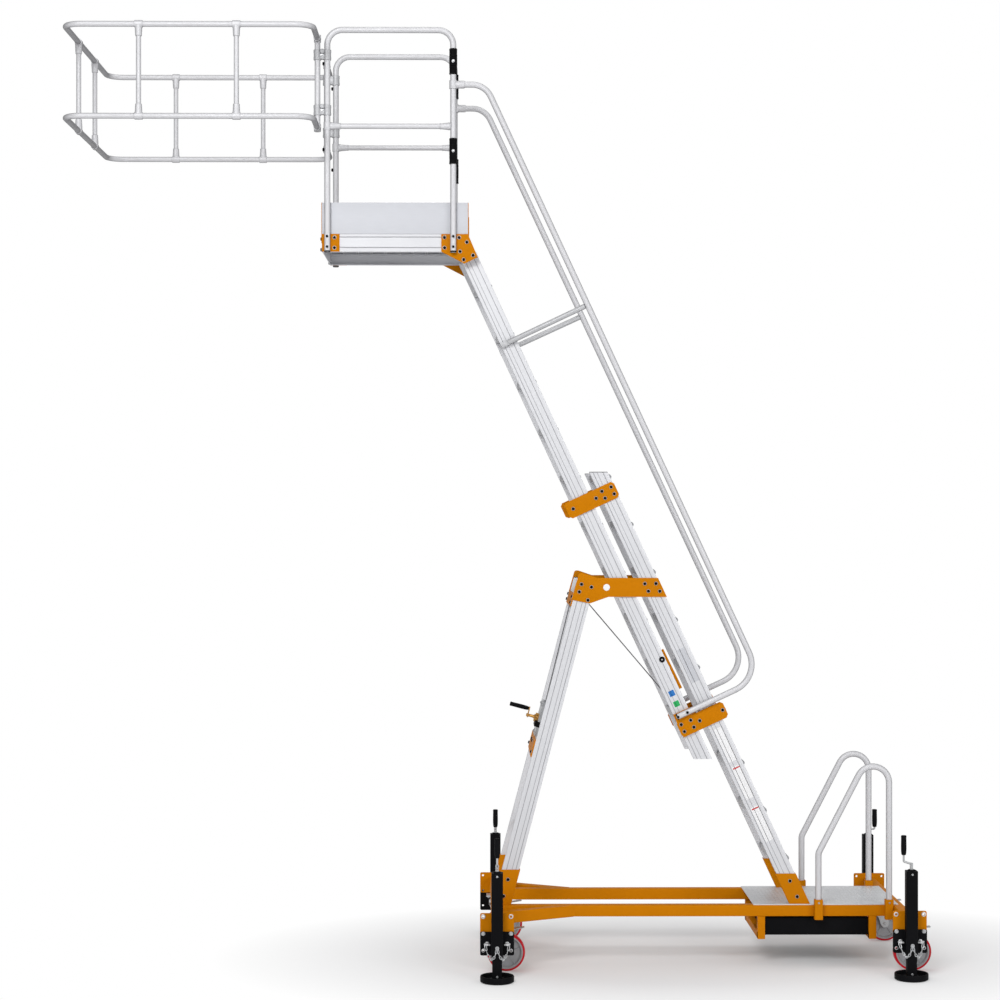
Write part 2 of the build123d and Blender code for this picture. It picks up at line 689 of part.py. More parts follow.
pulley_z = head_mid - pulley_drop
pulley_x = strut_x(pulley_z, -pulley_set)
pulley = cross_rod(pulley_x, pulley_z, pulley_r, -pulley_width / 2, pulley_width / 2)
groove_ring = cross_rod(pulley_x, pulley_z, pulley_r + overrun, -wire_r - fit_gap, wire_r + fit_gap)
groove_ring -= cross_rod(pulley_x, pulley_z, pulley_r - pulley_groove, -pulley_groove, pulley_groove)
pulley -= groove_ring
pulley += cross_rod(pulley_x, pulley_z, pulley_pin_r, -stile_in, stile_in)
nodes["head_pulley"] = [pulley]

wire_track = pulley_r - pulley_groove + wire_r + fit_gap


def tangent_to_pulley(x, z, side):
    """X and Z where a straight wire from a point meets the pulley's track, on the side given."""
    away = hypot(x - pulley_x, z - pulley_z)
    bearing = atan2(z - pulley_z, x - pulley_x)
    turn = side * acos(wire_track / away)
    return (pulley_x + wire_track * cos(bearing + turn), pulley_z + wire_track * sin(bearing + turn))


lug_back = mast_x(mast_tread_first, half_stile) + mast_tread_nose - tread_depth
lug_base = mast_tread_first + tread_thick / 2
lug_x, lug_z = lug_back + lug_size / 2, lug_base + lug_rise
top_x, top_z = tangent_to_pulley(lug_x, lug_z, 1)
stop_x = top_x + wire_share * (lug_x - top_x)
stop_z = top_z + wire_share * (lug_z - top_z)
drum_side = drum_r + wire_r + fit_gap
start_x, start_z = drum_x - drum_side * sin(strut_angle), drum_z + drum_side * cos(strut_angle)
down_x, down_z = tangent_to_pulley(start_x, start_z, -1)
nodes["hoist_wire"] = [
    bent_tube([(top_x, 0.0, top_z), (stop_x, 0.0, stop_z)], None, wire_r, wire_r / 2),
    bent_tube([(start_x, 0.0, start_z), (down_x, 0.0, down_z)], None, wire_r, wire_r / 2),
]

# Sliding ladder
nodes["mast_stiles"] = both_sides(stile(mast_x, mast_bottom, deck_floor, mast_out))
nodes["mast_treads"] = []
for i in range(mast_treads):
    z = mast_tread_first + i * tread_rise
    nodes["mast_treads"].append(tread(mast_x(z, half_stile) + mast_tread_nose, z, mast_in))

nodes["hoist_lug"] = [box(lug_back, lug_back + lug_size, -lug_thick / 2, lug_thick / 2, lug_base,
                          lug_z + lug_size / 2)]

# Platform deck
web_in, flange_in = -platform_y + deck_wall, -platform_y + deck_edge
side_profile = box(platform_front, platform_back, -platform_y, web_in, deck_floor, deck_top)
for z in (deck_floor, deck_top - board_thick - deck_wall, deck_top - deck_wall):
    side_profile += box(platform_front, platform_back, -platform_y, flange_in, z, z + deck_wall)
board_y = platform_y - deck_wall
end_front = box(platform_front, platform_front + deck_wall, -board_y, board_y, deck_floor, deck_top)
end_rear = box(platform_back - deck_wall, platform_back, -board_y, board_y, deck_top - board_thick, deck_top)
frame = side_profile + mirror(side_profile, about=Plane.XZ) + end_front + end_rear
nodes["deck_frame"] = [frame]
nodes["deck_boards"] = []
board_start = platform_front + deck_wall
board_room = platform_length - 2 * deck_wall
board_count = int(board_room // board_pitch)
board_width = board_room / board_count
board_top = deck_top - deck_wall - seat_gap
board_low = deck_top - board_thick + seat_gap
for i in range(board_count):
    x0 = board_start + i * board_width + board_gap / 2
    x1 = x0 + board_width - board_gap
    board = box(x0, x1, -board_y, board_y, board_top - board_rib, board_top)
    for rib_x in (x0, x1 - board_rib):
        board += box(rib_x, rib_x + board_rib, -board_y, board_y, board_low, board_top)
    nodes["deck_boards"].append(board)

# Brackets that join posts, deck and sliding ladder
bolt_face = platform_y + sheet
corner = box(platform_front, platform_front + corner_length, -bolt_face, -platform_y, deck_floor, deck_top)
nodes["deck_corner_brackets"] = both_sides(corner)
gusset_tip_u = (deck_floor - rail_top) / sin(lean) + gusset_lift
tip_front = on_ladder(gusset_tip_u, half_stile - mast_offset - foot_margin)
tip_back = on_ladder(gusset_tip_u, -half_stile - mast_offset + foot_margin)
gusset_outline = [(platform_back - gusset_front, deck_top), (platform_back, deck_top), tip_front, tip_back,
                  (platform_back - gusset_front, deck_floor)]
nodes["deck_gussets"] = both_sides(side_plate(gusset_outline, -bolt_face, -platform_y))
block_low = tip_front[1] + foot_margin
block_outline = lean_outline(mast_x, block_low, deck_floor, half_stile)
nodes["mast_head_blocks"] = both_sides(side_plate(block_outline, -platform_y, -mast_out))

# Toe boards
toe_top = deck_top + toe_height
toe = box(platform_front, platform_back, -platform_y, -platform_y + toe_thick, deck_top, toe_top)
nodes["side_toe_boards"] = both_sides(toe)
plate_low = deck_floor + deck_depth / 2
front_plate = box(platform_front - toe_thick, platform_front, -platform_y, platform_y, plate_low, toe_top)
rear_plate = box(platform_back, platform_back + toe_thick, -platform_y, -stile_in, plate_low, toe_top)
nodes["end_toe_plates"] = [front_plate] + both_sides(rear_plate)

# Guard rails
guard = bent_tube([(front_post_x, -post_y, post_bottom), (front_post_x, -post_y, guard_top),
                   (rear_post_x, -post_y, guard_top), (rear_post_x, -post_y, post_bottom)],
                  (guard_bend, guard_bend), post_r)
nodes["guard_rails"] = both_sides(guard)
mid_start, mid_end = front_post_x + post_r, rear_post_x - post_r
mid = bent_tube([(mid_start, -post_y, mid_height), (mid_end, -post_y, mid_height)], None, mid_r)
mid_bore = mid_r - tube_wall
for x0, x1 in ((mid_start, mid_start + tee_length), (mid_end - tee_length, mid_end)):
    place = Pos((x0 + x1) / 2, -post_y, mid_height) * Rot(0, 90, 0)
    mid += place * Cylinder(tee_r, x1 - x0) - place * Cylinder(mid_bore, tee_length + overrun)
mid -= upright(front_post_x, -post_y, post_r, mid_height - tee_length, mid_height + tee_length)
mid -= upright(rear_post_x, -post_y, post_r, mid_height - tee_length, mid_height + tee_length)
nodes["mid_rails"] = both_sides(mid)

# Spring hinges on the rear posts, and the two gate leaves
nodes["gate_hinges"] = []
knuckle = hinge_height * knuckle_share
for z in hinge_heights:
    for z0, z1 in ((z - hinge_height / 2, z - knuckle / 2), (z + knuckle / 2, z + hinge_height / 2)):
        ring = upright(rear_post_x, -post_y, hinge_r, z0, z1)
        ring -= upright(rear_post_x, -post_y, post_r + fit_gap, z0 - overrun, z1 + overrun)
        nodes["gate_hinges"] += both_sides(ring)
leaf_far = -post_y + leaf_width
leaf_near = -post_y + post_r + overrun
low_hinge, high_hinge = hinge_heights
leaf = bent_tube([(rear_post_x, leaf_near, high_hinge), (rear_post_x, leaf_far, high_hinge),
                  (rear_post_x, leaf_far, low_hinge), (rear_post_x, leaf_near, low_hinge)],
                 (leaf_bend, leaf_bend), leaf_r)
for z in hinge_heights:
    z0, z1 = z - knuckle / 2 + seat_gap, z + knuckle / 2 - seat_gap
    ring = upright(rear_post_x, -post_y, hinge_r, z0, z1)
    ring -= upright(rear_post_x, -post_y, post_r + fit_gap, z0 - overrun, z1 + overrun)
    leaf += ring
nodes["gate_leaf_left"] = [leaf]
nodes["gate_leaf_right"] = [mirror(leaf, about=Plane.XZ)]

# Cage
return_y = post_y + cage_r + seat_gap
nodes["cage_rails"] = []
for z in (cage_bottom, cage_top):
    nodes["cage_rails"].append(
        bent_tube([(cage_back, -return_y, z), (cage_back, -cage_y, z), (cage_front, -cage_y, z),
                   (cage_front, cage_y, z), (cage_back, cage_y, z), (cage_back, return_y, z)],
                  (cage_bend, cage_bend, cage_bend, cage_bend), cage_r))


def cage_post(x, y, along_x):
    """A cage post with a tee fitting round each rail."""
    post = upright(x, y, cage_post_r, cage_bottom, cage_top)
    turn = Rot(0, 90, 0) if along_x else Rot(90, 0, 0)
    for z, inward in ((cage_bottom, 1), (cage_top, -1)):
        post += Pos(x, y, z) * turn * Cylinder(collar_r, collar_length)
        cone_end = z + inward * (collar_r + cone_length)
        post += upright(x, y, collar_r - tube_wall, min(z, cone_end), max(z, cone_end))
    for z in (cage_bottom, cage_top):
        post -= Pos(x, y, z) * turn * Cylinder(cage_r + fit_gap, 2 * collar_length)
    return post


nodes["cage_posts"] = []
for offset in cage_post_x:
    nodes["cage_posts"] += both_sides(cage_post(cage_front + offset, -cage_y, True))
nodes["cage_posts"] += both_sides(cage_post(cage_front, -cage_front_post_y, False))
end_post = upright(cage_back, -post_y, cage_r, cage_bottom - collar_r, cage_top + collar_r)
for z in (cage_bottom, cage_top):
    end_post += cross_rod(cage_back, z, collar_r, -post_y - collar_length, -post_y)
    end_post -= cross_rod(cage_back, z, cage_r + fit_gap, -post_y - collar_length - overrun, -return_y)
nodes["cage_posts"] += both_sides(end_post)
nodes["cage_couplers"] = []
for z in coupler_heights:
    low, high = z - coupler_height / 2, z + coupler_height / 2
    coupler = upright(cage_back, -post_y, coupler_r, low, high)
    coupler += upright(front_post_x, -post_y, coupler_r, low, high)
    coupler += box(cage_back, front_post_x, -post_y - coupler_bridge, -post_y + coupler_bridge, low, high)
    coupler -= upright(cage_back, -post_y, cage_r + fit_gap, low - overrun, high + overrun)
    coupler -= upright(front_post_x, -post_y, post_r + fit_gap, low - overrun, high + overrun)
    nodes["cage_couplers"] += both_sides(coupler)

# Long stair handrails, from the rear post down to the carriage bracket
stair_low_y = carriage_out + stair_r + seat_gap
line_v = stair_ahead - mast_offset
stair_start_x = rear_post_x + post_r
knee_x = ladder_x(stair_top, line_v)
low_x, low_z = on_ladder(stair_end_u, line_v)
end_x, end_z = on_ladder(stair_end_u, -mast_offset - half_stile + arm_r)
stair = bent_tube([(stair_start_x, -post_y, stair_top), (knee_x, -post_y, stair_top),
                   (low_x, -stair_low_y, low_z), (end_x, -stair_low_y, end_z)],
                  (stair_top_bend, stair_low_bend), stair_r)
nodes["stair_handrails"] = both_sides(stair)

# Arms that hold the stair handrails half way
arm_x = mast_x(arm_z)
arm_u = (arm_z - rail_top) * sin(lean) - (arm_x - ladder_foot) * cos(lean)
reach_x, reach_z = on_ladder(arm_u, line_v)
drop = (stair_top - reach_z) / (stair_top - low_z)
rail_side_y = post_y + drop * (stair_low_y - post_y)
plate_points = [on_ladder(arm_u + du, v - mast_offset) for du, v in
                ((-arm_r, -half_stile), (-arm_r, half_stile), (arm_r, half_stile), (arm_r, -half_stile))]
start_x, start_z = on_ladder(arm_u, -mast_offset)
arm_end_x = reach_x - (stair_r + seat_gap) * sin(lean)
arm_end_z = reach_z - (stair_r + seat_gap) * cos(lean)
arm_path_y = mast_out + sheet + arm_r
arm = side_plate(plate_points, -arm_path_y, -mast_out)
arm += bent_tube([(start_x, -arm_path_y, start_z), (arm_end_x, -rail_side_y, arm_end_z)], None, arm_r)
nodes["handrail_arms"] = both_sides(arm)

# The whole model is centred over the middle of its length, and each node is written
everything = [solid for solids in nodes.values() for piece in solids for solid in piece.solids()]
span = Compound(everything).bounding_box()
shift = -(span.min.X + span.max.X) / 2
os.makedirs("parts", exist_ok=True)
for name, pieces in nodes.items():
    solids = [solid.moved(Location((shift, 0, 0))) for piece in pieces for solid in piece.solids()]
    shape = solids[0] if len(solids) == 1 else Compound(solids)
    export_step(shape, "parts/" + name + ".step")
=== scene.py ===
import json
import random
from math import acos, atan2, cos, pi, radians, sin, tan, tau

import bmesh
import bpy
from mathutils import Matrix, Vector
from mathutils.geometry import tessellate_polygon


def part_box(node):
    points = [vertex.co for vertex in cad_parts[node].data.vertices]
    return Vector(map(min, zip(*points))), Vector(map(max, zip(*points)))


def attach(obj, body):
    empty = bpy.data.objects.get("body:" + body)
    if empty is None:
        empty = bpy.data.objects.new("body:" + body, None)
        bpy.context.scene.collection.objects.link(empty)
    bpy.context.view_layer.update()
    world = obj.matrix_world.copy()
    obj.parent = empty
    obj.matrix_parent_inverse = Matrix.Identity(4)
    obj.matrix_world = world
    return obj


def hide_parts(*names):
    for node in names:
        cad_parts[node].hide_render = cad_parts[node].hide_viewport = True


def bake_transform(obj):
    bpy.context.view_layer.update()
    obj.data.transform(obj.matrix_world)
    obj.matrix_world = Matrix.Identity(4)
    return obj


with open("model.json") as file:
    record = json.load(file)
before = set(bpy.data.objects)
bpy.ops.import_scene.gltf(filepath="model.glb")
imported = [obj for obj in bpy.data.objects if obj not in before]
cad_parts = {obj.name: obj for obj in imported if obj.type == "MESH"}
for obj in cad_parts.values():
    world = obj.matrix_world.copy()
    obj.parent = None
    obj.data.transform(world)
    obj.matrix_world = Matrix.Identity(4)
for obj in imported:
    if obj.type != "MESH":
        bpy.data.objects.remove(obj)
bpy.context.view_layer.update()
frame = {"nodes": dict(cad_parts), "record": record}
rng = random.Random(23)
NODE_BODY = {n: b for b, group in frame["record"]["behaviour"]["bodies"].items() for n in group}
NODE_SLOT = {s["node"]: s["material_slot"] for s in frame["record"]["subparts"]}
X, Y, UP = Vector((1, 0, 0)), Vector((0, 1, 0)), Vector((0, 0, 1))
MM = 0.001

# Places and sizes in millimetres. X runs from the axis of the front cross beam
BEAM = 60.0
FRONT_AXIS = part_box("cross_beams")[0].x / MM + BEAM / 2
REAR_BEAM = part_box("cross_beams")[1].x / MM - BEAM / 2 - FRONT_AXIS
RAIL_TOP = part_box("base_rails")[1].z / MM
RAIL_LOW = RAIL_TOP - BEAM
RAIL_Y, RAIL_OUT = 262.0, 292.0
FRONT_REACH, REAR_REACH = 652.0, 604.0
HANGER_X = (1418.0, 2015.0)
LEAN, STRUT_LEAN = radians(65.0), radians(75.25)
LADDER_FOOT, STRUT_FOOT, MAST_OFFSET = 1627.0, 25.0, 142.0
STILE_DEPTH, STILE_WIDTH, STILE_OUT, MAST_OUT = 90.0, 30.0, 277.0, 272.0
FIXED_TOP, STRUT_TOP = 2641.0, 2062.0
TREAD_DEPTH, TREAD_RISE = 96.0, 256.0
BRACKET_OUT, CARRIAGE_OUT = 282.0, 287.0
DECK_Y, DECK_TOP, DECK_FLOOR = 329.0, 3909.0, 3815.0
DECK_GROOVES = (3893.3, 3837.3)
POST_Y, POST_R, TUBE_R = 350.0, 16.0, 15.0
GUARD_TOP, MID_Z = 4992.0, 4480.0
CAGE_TOP, CAGE_LOW, CAGE_Y, CAGE_LENGTH = 4944.0, 4470.0, 705.0, 1286.0
HINGE_Z = (4347.0, 4824.0)


def place(p):
    """Row frame metres of a point in millimetres from the front beam's axis."""
    return Vector(((p[0] + FRONT_AXIS) * MM, p[1] * MM, p[2] * MM))


def local_box(node):
    """Corners of a CAD node in millimetres from the front beam's axis."""
    low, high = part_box(node)
    return Vector(low) / MM - X * FRONT_AXIS, Vector(high) / MM - X * FRONT_AXIS


FRONT_POST = local_box("deck_frame")[0].x + 30.0
REAR_POST = local_box("deck_frame")[1].x - 78.0
CAGE_BACK = FRONT_POST - 52.0
CAGE_FRONT = CAGE_BACK - CAGE_LENGTH


def ladder_x(z, v=0.0):
    return LADDER_FOOT - (z - RAIL_TOP) / tan(LEAN) + v / sin(LEAN)


def mast_x(z, v=0.0):
    return ladder_x(z, v - MAST_OFFSET)


def strut_x(z, w=0.0):
    return STRUT_FOOT + (z - RAIL_TOP) / tan(STRUT_LEAN) + w / sin(STRUT_LEAN)


def on_ladder(u, v, y=0.0):
    """A point u up the fixed ladder and v out of its axis, towards the entry."""
    return Vector((LADDER_FOOT - u * cos(LEAN) + v * sin(LEAN), y,
                   RAIL_TOP + u * sin(LEAN) + v * cos(LEAN)))


# Finishes

BROAD_SCALE, STREAK_SCALE, BUMP_DEPTH = 2.6, 60.0, 0.0004
# Dark grey of the painted shade on the rims of tubes and extrusions
PAINTED_EDGE_SHADE = (0.13, 0.13, 0.14, 1.0)


def feed(node, values):
    """Sets inputs of a node, or links them where the value is another node's output."""
    for key, value in values.items():
        if isinstance(value, bpy.types.NodeSocket):
            node.id_data.links.new(value, node.inputs[key])
        else:
            node.inputs[key].default_value = value
    return node.outputs


def add_node(tree, kind, values, **settings):
    node = tree.nodes.new("ShaderNode" + kind)
    for key, value in settings.items():
        setattr(node, key, value)
    return feed(node, values)


def noise(tree, vector, scale, detail):
    values = {"Vector": vector, "Scale": scale, "Detail": detail, "Roughness": 0.55}
    return add_node(tree, "TexNoise", values)["Fac"]


def span(tree, value, low, high, first=0.3, last=0.7):
    """Spreads a value that lies between first and last over low to high."""
    return add_node(tree, "MapRange", {"Value": value, "From Min": first, "From Max": last,
                                       "To Min": low, "To Max": high})["Result"]


def maths(tree, operation, *values):
    return add_node(tree, "Math", dict(enumerate(values)), operation=operation)["Value"]


def blend(tree, factor, a, b, mode="MIX"):
    """Two colours mixed by the mix node's factor, first colour and second colour."""
    return add_node(tree, "Mix", {0: factor, 6: a, 7: b}, data_type="RGBA", blend_type=mode)[2]


def finish(name, base, metallic, rough, drift, streak, streak_tone, grain, bump, rim=0.0, turn=0.0,
           specular=0.5):
    """A layered finish: broad drift of tone, streaks along one way, fine grain and painted shade that
    darkens the rim at grazing angles.
    """
    mat = bpy.data.materials.new(name)
    mat.use_nodes = True
    tree = mat.node_tree
    coord = tree.nodes.new("ShaderNodeTexCoord").outputs["Object"]
    turned = add_node(tree, "Mapping", {"Vector": coord, "Scale": streak, "Rotation": (0.0, turn, 0.0)})
    broad = noise(tree, coord, BROAD_SCALE, 4.0)
    lines = noise(tree, turned["Vector"], STREAK_SCALE, 3.0)
    fine = noise(tree, coord, grain, 2.0)
    darker = (*(c * (1.0 - drift) for c in base), 1.0)
    lighter = (*(min(1.0, c * (1.0 + drift * 0.6)) for c in base), 1.0)
    streaks = (*(1.0 - streak_tone,) * 3, 1.0)
    tone = blend(tree, span(tree, broad, 0.0, 1.0), darker, lighter)
    tone = blend(tree, span(tree, lines, 0.0, 1.0), tone, streaks, "MULTIPLY")
    # Painted shade: towards grazing angles the colour turns to a dark grey, in place of the dark edge
    # reflections of tubes and extrusions
    if rim > 0.0:
        facing = add_node(tree, "LayerWeight", {"Blend": 0.5})["Facing"]
        tone = blend(tree, span(tree, facing, 0.0, rim, 0.25, 1.0), tone, PAINTED_EDGE_SHADE)
    height = maths(tree, "MULTIPLY_ADD", lines, 0.6, fine)
    normal = add_node(tree, "Bump", {"Strength": bump, "Distance": BUMP_DEPTH, "Height": height})["Normal"]
    roughness = span(tree, lines, rough * 0.86, min(1.0, rough * 1.16))
    feed(tree.nodes["Principled BSDF"], {"Base Color": tone, "Metallic": metallic, "Roughness": roughness,
                                         "Specular IOR Level": specular, "Normal": normal})
    return mat


PLAIN = (1.0, 1.0, 1.0)
ALONG = (9.0, 9.0, 0.22)
BARE = (0.69, 0.695, 0.72)
# Name, colour, metallic, roughness, drift, streaks, their tone, grain, bump, rim of painted shade, turn,
# specular
LOOKS = {look: finish(*values) for look, values in {
    "orange": ("orange_coat", (0.585, 0.194, 0.0), 0.0, 0.5, 0.06, PLAIN, 0.03, 700.0, 0.05, 0.0, 0.0, 0.05),
    "black": ("black_coat", (0.005, 0.005, 0.006), 0.0, 0.5, 0.3, PLAIN, 0.05, 600.0, 0.08, 0.0, 0.0, 0.05),
    "plastic": ("black_moulding", (0.004, 0.004, 0.005), 0.0, 0.6, 0.3, PLAIN, 0.05, 1400.0, 0.1,
                0.0, 0.0, 0.08),
    "ladder": ("ladder_extrusion", BARE, 0.25, 0.45, 0.03, ALONG, 0.03, 1500.0, 0.02,
               0.45, LEAN - pi / 2, 0.3),
    "strut": ("strut_extrusion", BARE, 0.25, 0.45, 0.03, ALONG, 0.03, 1500.0, 0.02,
               0.45, pi / 2 - STRUT_LEAN, 0.3),
    "tube": ("round_tube", (0.64, 0.64, 0.66), 0.2, 0.5, 0.03, (0.6, 0.6, 0.6), 0.015, 1200.0, 0.003,
               0.95, 0.0, 0.2),
    "fitting": ("cast_fitting", (0.5, 0.505, 0.52), 0.25, 0.48, 0.05, (0.8, 0.8, 0.8), 0.03, 900.0, 0.02,
               0.8, 0.0, 0.3),
    "tread": ("tread_extrusion", (0.36, 0.365, 0.38), 0.6, 0.45, 0.08, (1.0, 0.1, 6.0), 0.1, 1200.0, 0.08),
    "deck": ("deck_extrusion", (0.62, 0.625, 0.65), 0.25, 0.45, 0.03, (0.1, 4.0, 4.0), 0.03, 1500.0, 0.03),
    "sheet": ("toe_sheet", (0.55, 0.56, 0.595), 0.1, 0.5, 0.02, (0.3, 4.0, 4.0), 0.015, 1500.0, 0.02,
               0.0, 0.0, 0.3),
    "chequer": ("chequer_sheet", (0.76, 0.77, 0.79), 0.4, 0.36, 0.1, (0.4, 3.0, 1.0), 0.1, 900.0, 0.1),
    "zinc": ("zinc_plate", (0.52, 0.53, 0.54), 0.8, 0.36, 0.12, PLAIN, 0.06, 800.0, 0.08),
    "bright": ("bright_washer", (0.66, 0.66, 0.67), 0.6, 0.36, 0.06, PLAIN, 0.05, 900.0, 0.06),
    "wire": ("stranded_wire", (0.2, 0.2, 0.21), 0.7, 0.42, 0.2, (3.0, 3.0, 30.0), 0.25, 1500.0, 0.5),
    "tyre": ("red_tread", (0.58, 0.005, 0.016), 0.0, 0.42, 0.08, PLAIN, 0.05, 700.0, 0.12, 0.0, 0.0, 0.2),
    "rim": ("grey_rim", (0.36, 0.365, 0.38), 0.0, 0.5, 0.06, PLAIN, 0.05, 800.0, 0.1),
    "paper": ("label_film", (0.86, 0.86, 0.87), 0.0, 0.45, 0.02, PLAIN, 0.02, 500.0, 0.04),
    "red_line": ("label_line", (0.6, 0.05, 0.06), 0.0, 0.45, 0.05, PLAIN, 0.04, 500.0, 0.04),
    "blue": ("blue_plate", (0.01, 0.16, 0.5), 0.0, 0.4, 0.1, PLAIN, 0.05, 500.0, 0.04),
    "green": ("green_plate", (0.01, 0.4, 0.1), 0.0, 0.4, 0.1, PLAIN, 0.05, 500.0, 0.04),
    # Dark grey for the strips of painted shade in the grooves of stiles and deck
    "groove": ("groove_shadow", (0.34, 0.34, 0.36), 0.2, 0.5, 0.05, PLAIN, 0.05, 900.0, 0.02),
    "gold": ("yellow_zinc", (0.55, 0.29, 0.07), 0.6, 0.38, 0.2, PLAIN, 0.1, 800.0, 0.08),
}.items()}


# Mesh building

def rounded(points, radii, steps=14):
    """The points of a path whose inner corners are turned into arcs."""
    pts = [Vector(p) for p in points]
    out = [pts[0]]
    for before, corner, after, r in zip(pts, pts[1:], pts[2:], radii):
        a, b = (before - corner).normalized(), (after - corner).normalized()
        half = a.angle(b) / 2
        reach = r / tan(half)
        centre = corner + (a + b).normalized() * (r / sin(half))
        first = (corner + a * reach - centre).normalized()
        last = (corner + b * reach - centre).normalized()
        out += [centre + first.slerp(last, i / steps) * r for i in range(steps + 1)]
    return out + [pts[-1]]


def ring_points(r, count=20):
    return [(r * cos(tau * i / count), r * sin(tau * i / count)) for i in range(count)]


def round_rect(w, h, r, steps=3):
    """Outline of a rectangle with rounded corners about the origin."""
    r = min(r, w / 2 - 0.01, h / 2 - 0.01)
    out = []
    for cx, cy, start in ((1, 1, 0), (-1, 1, 90), (-1, -1, 180), (1, -1, 270)):
        for i in range(steps + 1):
            a = radians(start + 90 * i / steps)
            out.append((cx * (w / 2 - r) + r * cos(a), cy * (h / 2 - r) + r * sin(a)))
    return out


def even(half, *middle):
    """A profile that is completed by its mirror image about height zero."""
    return [*half, *middle, *((r, -h) for r, h in reversed(half))]


def collar(bore, end, wall, half, lip=2.0):
    """The profile of a sleeve about height zero, with chamfered ends."""
    return even([(bore, -half), (end, -half), (wall, lip - half)])


def cap(*profile):
    """A profile that starts and ends on the axis, on a level with its first and last pairs."""
    return [(0, profile[0][1]), *profile, (0, profile[-1][1])]


def inset(outline, by):
    """An outline drawn in by a small distance, for a chamfer."""
    area = sum(a[0] * b[1] - b[0] * a[1] for a, b in zip(outline, outline[1:] + outline[:1]))
    sign = 1.0 if area > 0 else -1.0
    out = []
    for i, p in enumerate(outline):
        a, b, here = Vector(outline[i - 1]), Vector(outline[(i + 1) % len(outline)]), Vector(p)
        d0, d1 = (here - a).normalized(), (b - here).normalized()
        n0, n1 = Vector((-d0.y, d0.x)) * sign, Vector((-d1.y, d1.x)) * sign
        mid = (n0 + n1).normalized()
        out.append(tuple(here + mid * by / max(0.5, mid.dot(n0))))
    return out


def walls(n, *starts):
    """Faces between rings of n points each, from the index of the first point of every ring."""
    return [[a + i, a + (i + 1) % n, b + (i + 1) % n, b + i]
            for a, b in zip(starts, starts[1:]) for i in range(n)]


class Shape:
    """A mesh that is built up piece by piece, in millimetres."""

    def __init__(self):
        self.points, self.faces = [], []

    def add(self, points, faces):
        start = len(self.points)
        self.points += [Vector(p) for p in points]
        self.faces += [[start + i for i in face] for face in faces]
        return self

    def rings(self, rings, loop=False):
        """Walls between equal rings of points, with closed ends unless they go round."""
        n, starts = len(rings[0]), [i * len(rings[0]) for i in range(len(rings))]
        faces = walls(n, *starts, *([0] if loop else []))
        if not loop:
            faces += [list(range(n))[::-1], [starts[-1] + i for i in range(n)]]
        return self.add([p for ring in rings for p in ring], faces)

    def lathe(self, profile, at, axis, count=28, loop=False):
        """A turned piece: pairs of radius and height along an axis."""
        axis, at = Vector(axis).normalized(), Vector(at)
        e1 = axis.orthogonal().normalized()
        e2 = axis.cross(e1)
        spots = ring_points(1.0, count)
        return self.rings([[at + axis * h + (e1 * c + e2 * s) * max(r, 0.05) for c, s in spots]
                           for r, h in profile], loop)

    def tube(self, points, r, count=16):
        """A round bar along a path."""
        pts = [Vector(p) for p in points]
        pts = [p for i, p in enumerate(pts) if i == 0 or (p - pts[i - 1]).length > 0.02]
        side = (pts[1] - pts[0]).orthogonal().normalized()
        rings = []
        for i, p in enumerate(pts):
            ahead = (pts[min(i + 1, len(pts) - 1)] - pts[max(i - 1, 0)]).normalized()
            side = (side - ahead * side.dot(ahead)).normalized()
            up = ahead.cross(side)
            rings.append([p + (side * c + up * s) * r for c, s in ring_points(1.0, count)])
        return self.rings(rings)

    def plate(self, outline, origin, u, v, depth, chamfer=0.8, holes=()):
        """A flat piece with an outline in the plane of u and v, chamfered edges and round holes."""
        origin, u, v = Vector(origin), Vector(u), Vector(v)
        normal, small = u.cross(v).normalized(), inset(outline, chamfer)
        size, circles = len(outline), [[(a + x, b + y) for x, y in ring_points(r)] for a, b, r in holes]
        levels = [(small, 0.0), (outline, chamfer), (outline, depth - chamfer), (small, depth)]
        levels += [(circle, h) for circle in circles for h in (0.0, depth)]
        points = [origin + u * a + v * b + normal * h for pts, h in levels for a, b in pts]
        faces = walls(size, 0, size, 2 * size, 3 * size)
        around = len(circles[0]) if circles else 1
        starts = range(4 * size, len(points), 2 * around)
        for start in starts:
            faces += walls(around, start, start + around)
        for first, lift in ((0, 0), (3 * size, around)):
            index = [first + i for i in range(size)]
            index += [start + lift + i for start in starts for i in range(around)]
            loops = [[Vector((a, b, 0)) for a, b in pts] for pts in (small, *circles)]
            faces += [[index[i] for i in tri] for tri in tessellate_polygon(loops)] if holes else [index]
        return self.add(points, faces)

    def block(self, low, high, r=1.5):
        """A block with rounded upright edges and chamfered ends."""
        low, high = Vector(low), Vector(high)
        mid, size = (low + high) / 2, high - low
        r = min(r, min(size) / 2.2)
        return self.plate(round_rect(size.x, size.y, r), (mid.x, mid.y, low.z), X, Y, size.z, r * 0.8)

    def bar(self, a, b, width, height, up, r=1.5):
        """A bar of rounded rectangular section between two points."""
        a, b = Vector(a), Vector(b)
        along = (b - a).normalized()
        up = (Vector(up) - along * Vector(up).dot(along)).normalized()
        outline = round_rect(width, height, min(r, width / 2.2, height / 2.2))
        return self.plate(outline, a, up.cross(along), up, (b - a).length, min(0.8, r * 0.8))

    def mirrored(self):
        """The shape and its mirror image across the middle plane."""
        return self.add([(p.x, -p.y, p.z) for p in self.points], [face[::-1] for face in self.faces])

    def make(self, name, look, body, slot, stands_for=(), smooth=32.0):
        """The finished object, riding on a body."""
        mesh = bpy.data.meshes.new(name)
        mesh.from_pydata([place(p) for p in self.points], [], self.faces)
        bm = bmesh.new()
        bm.from_mesh(mesh)
        bmesh.ops.remove_doubles(bm, verts=bm.verts, dist=1e-6)
        bmesh.ops.recalc_face_normals(bm, faces=bm.faces)
        bm.to_mesh(mesh)
        bm.free()
        return dress(bpy.data.objects.new(name, mesh), look, body, stands_for, smooth)


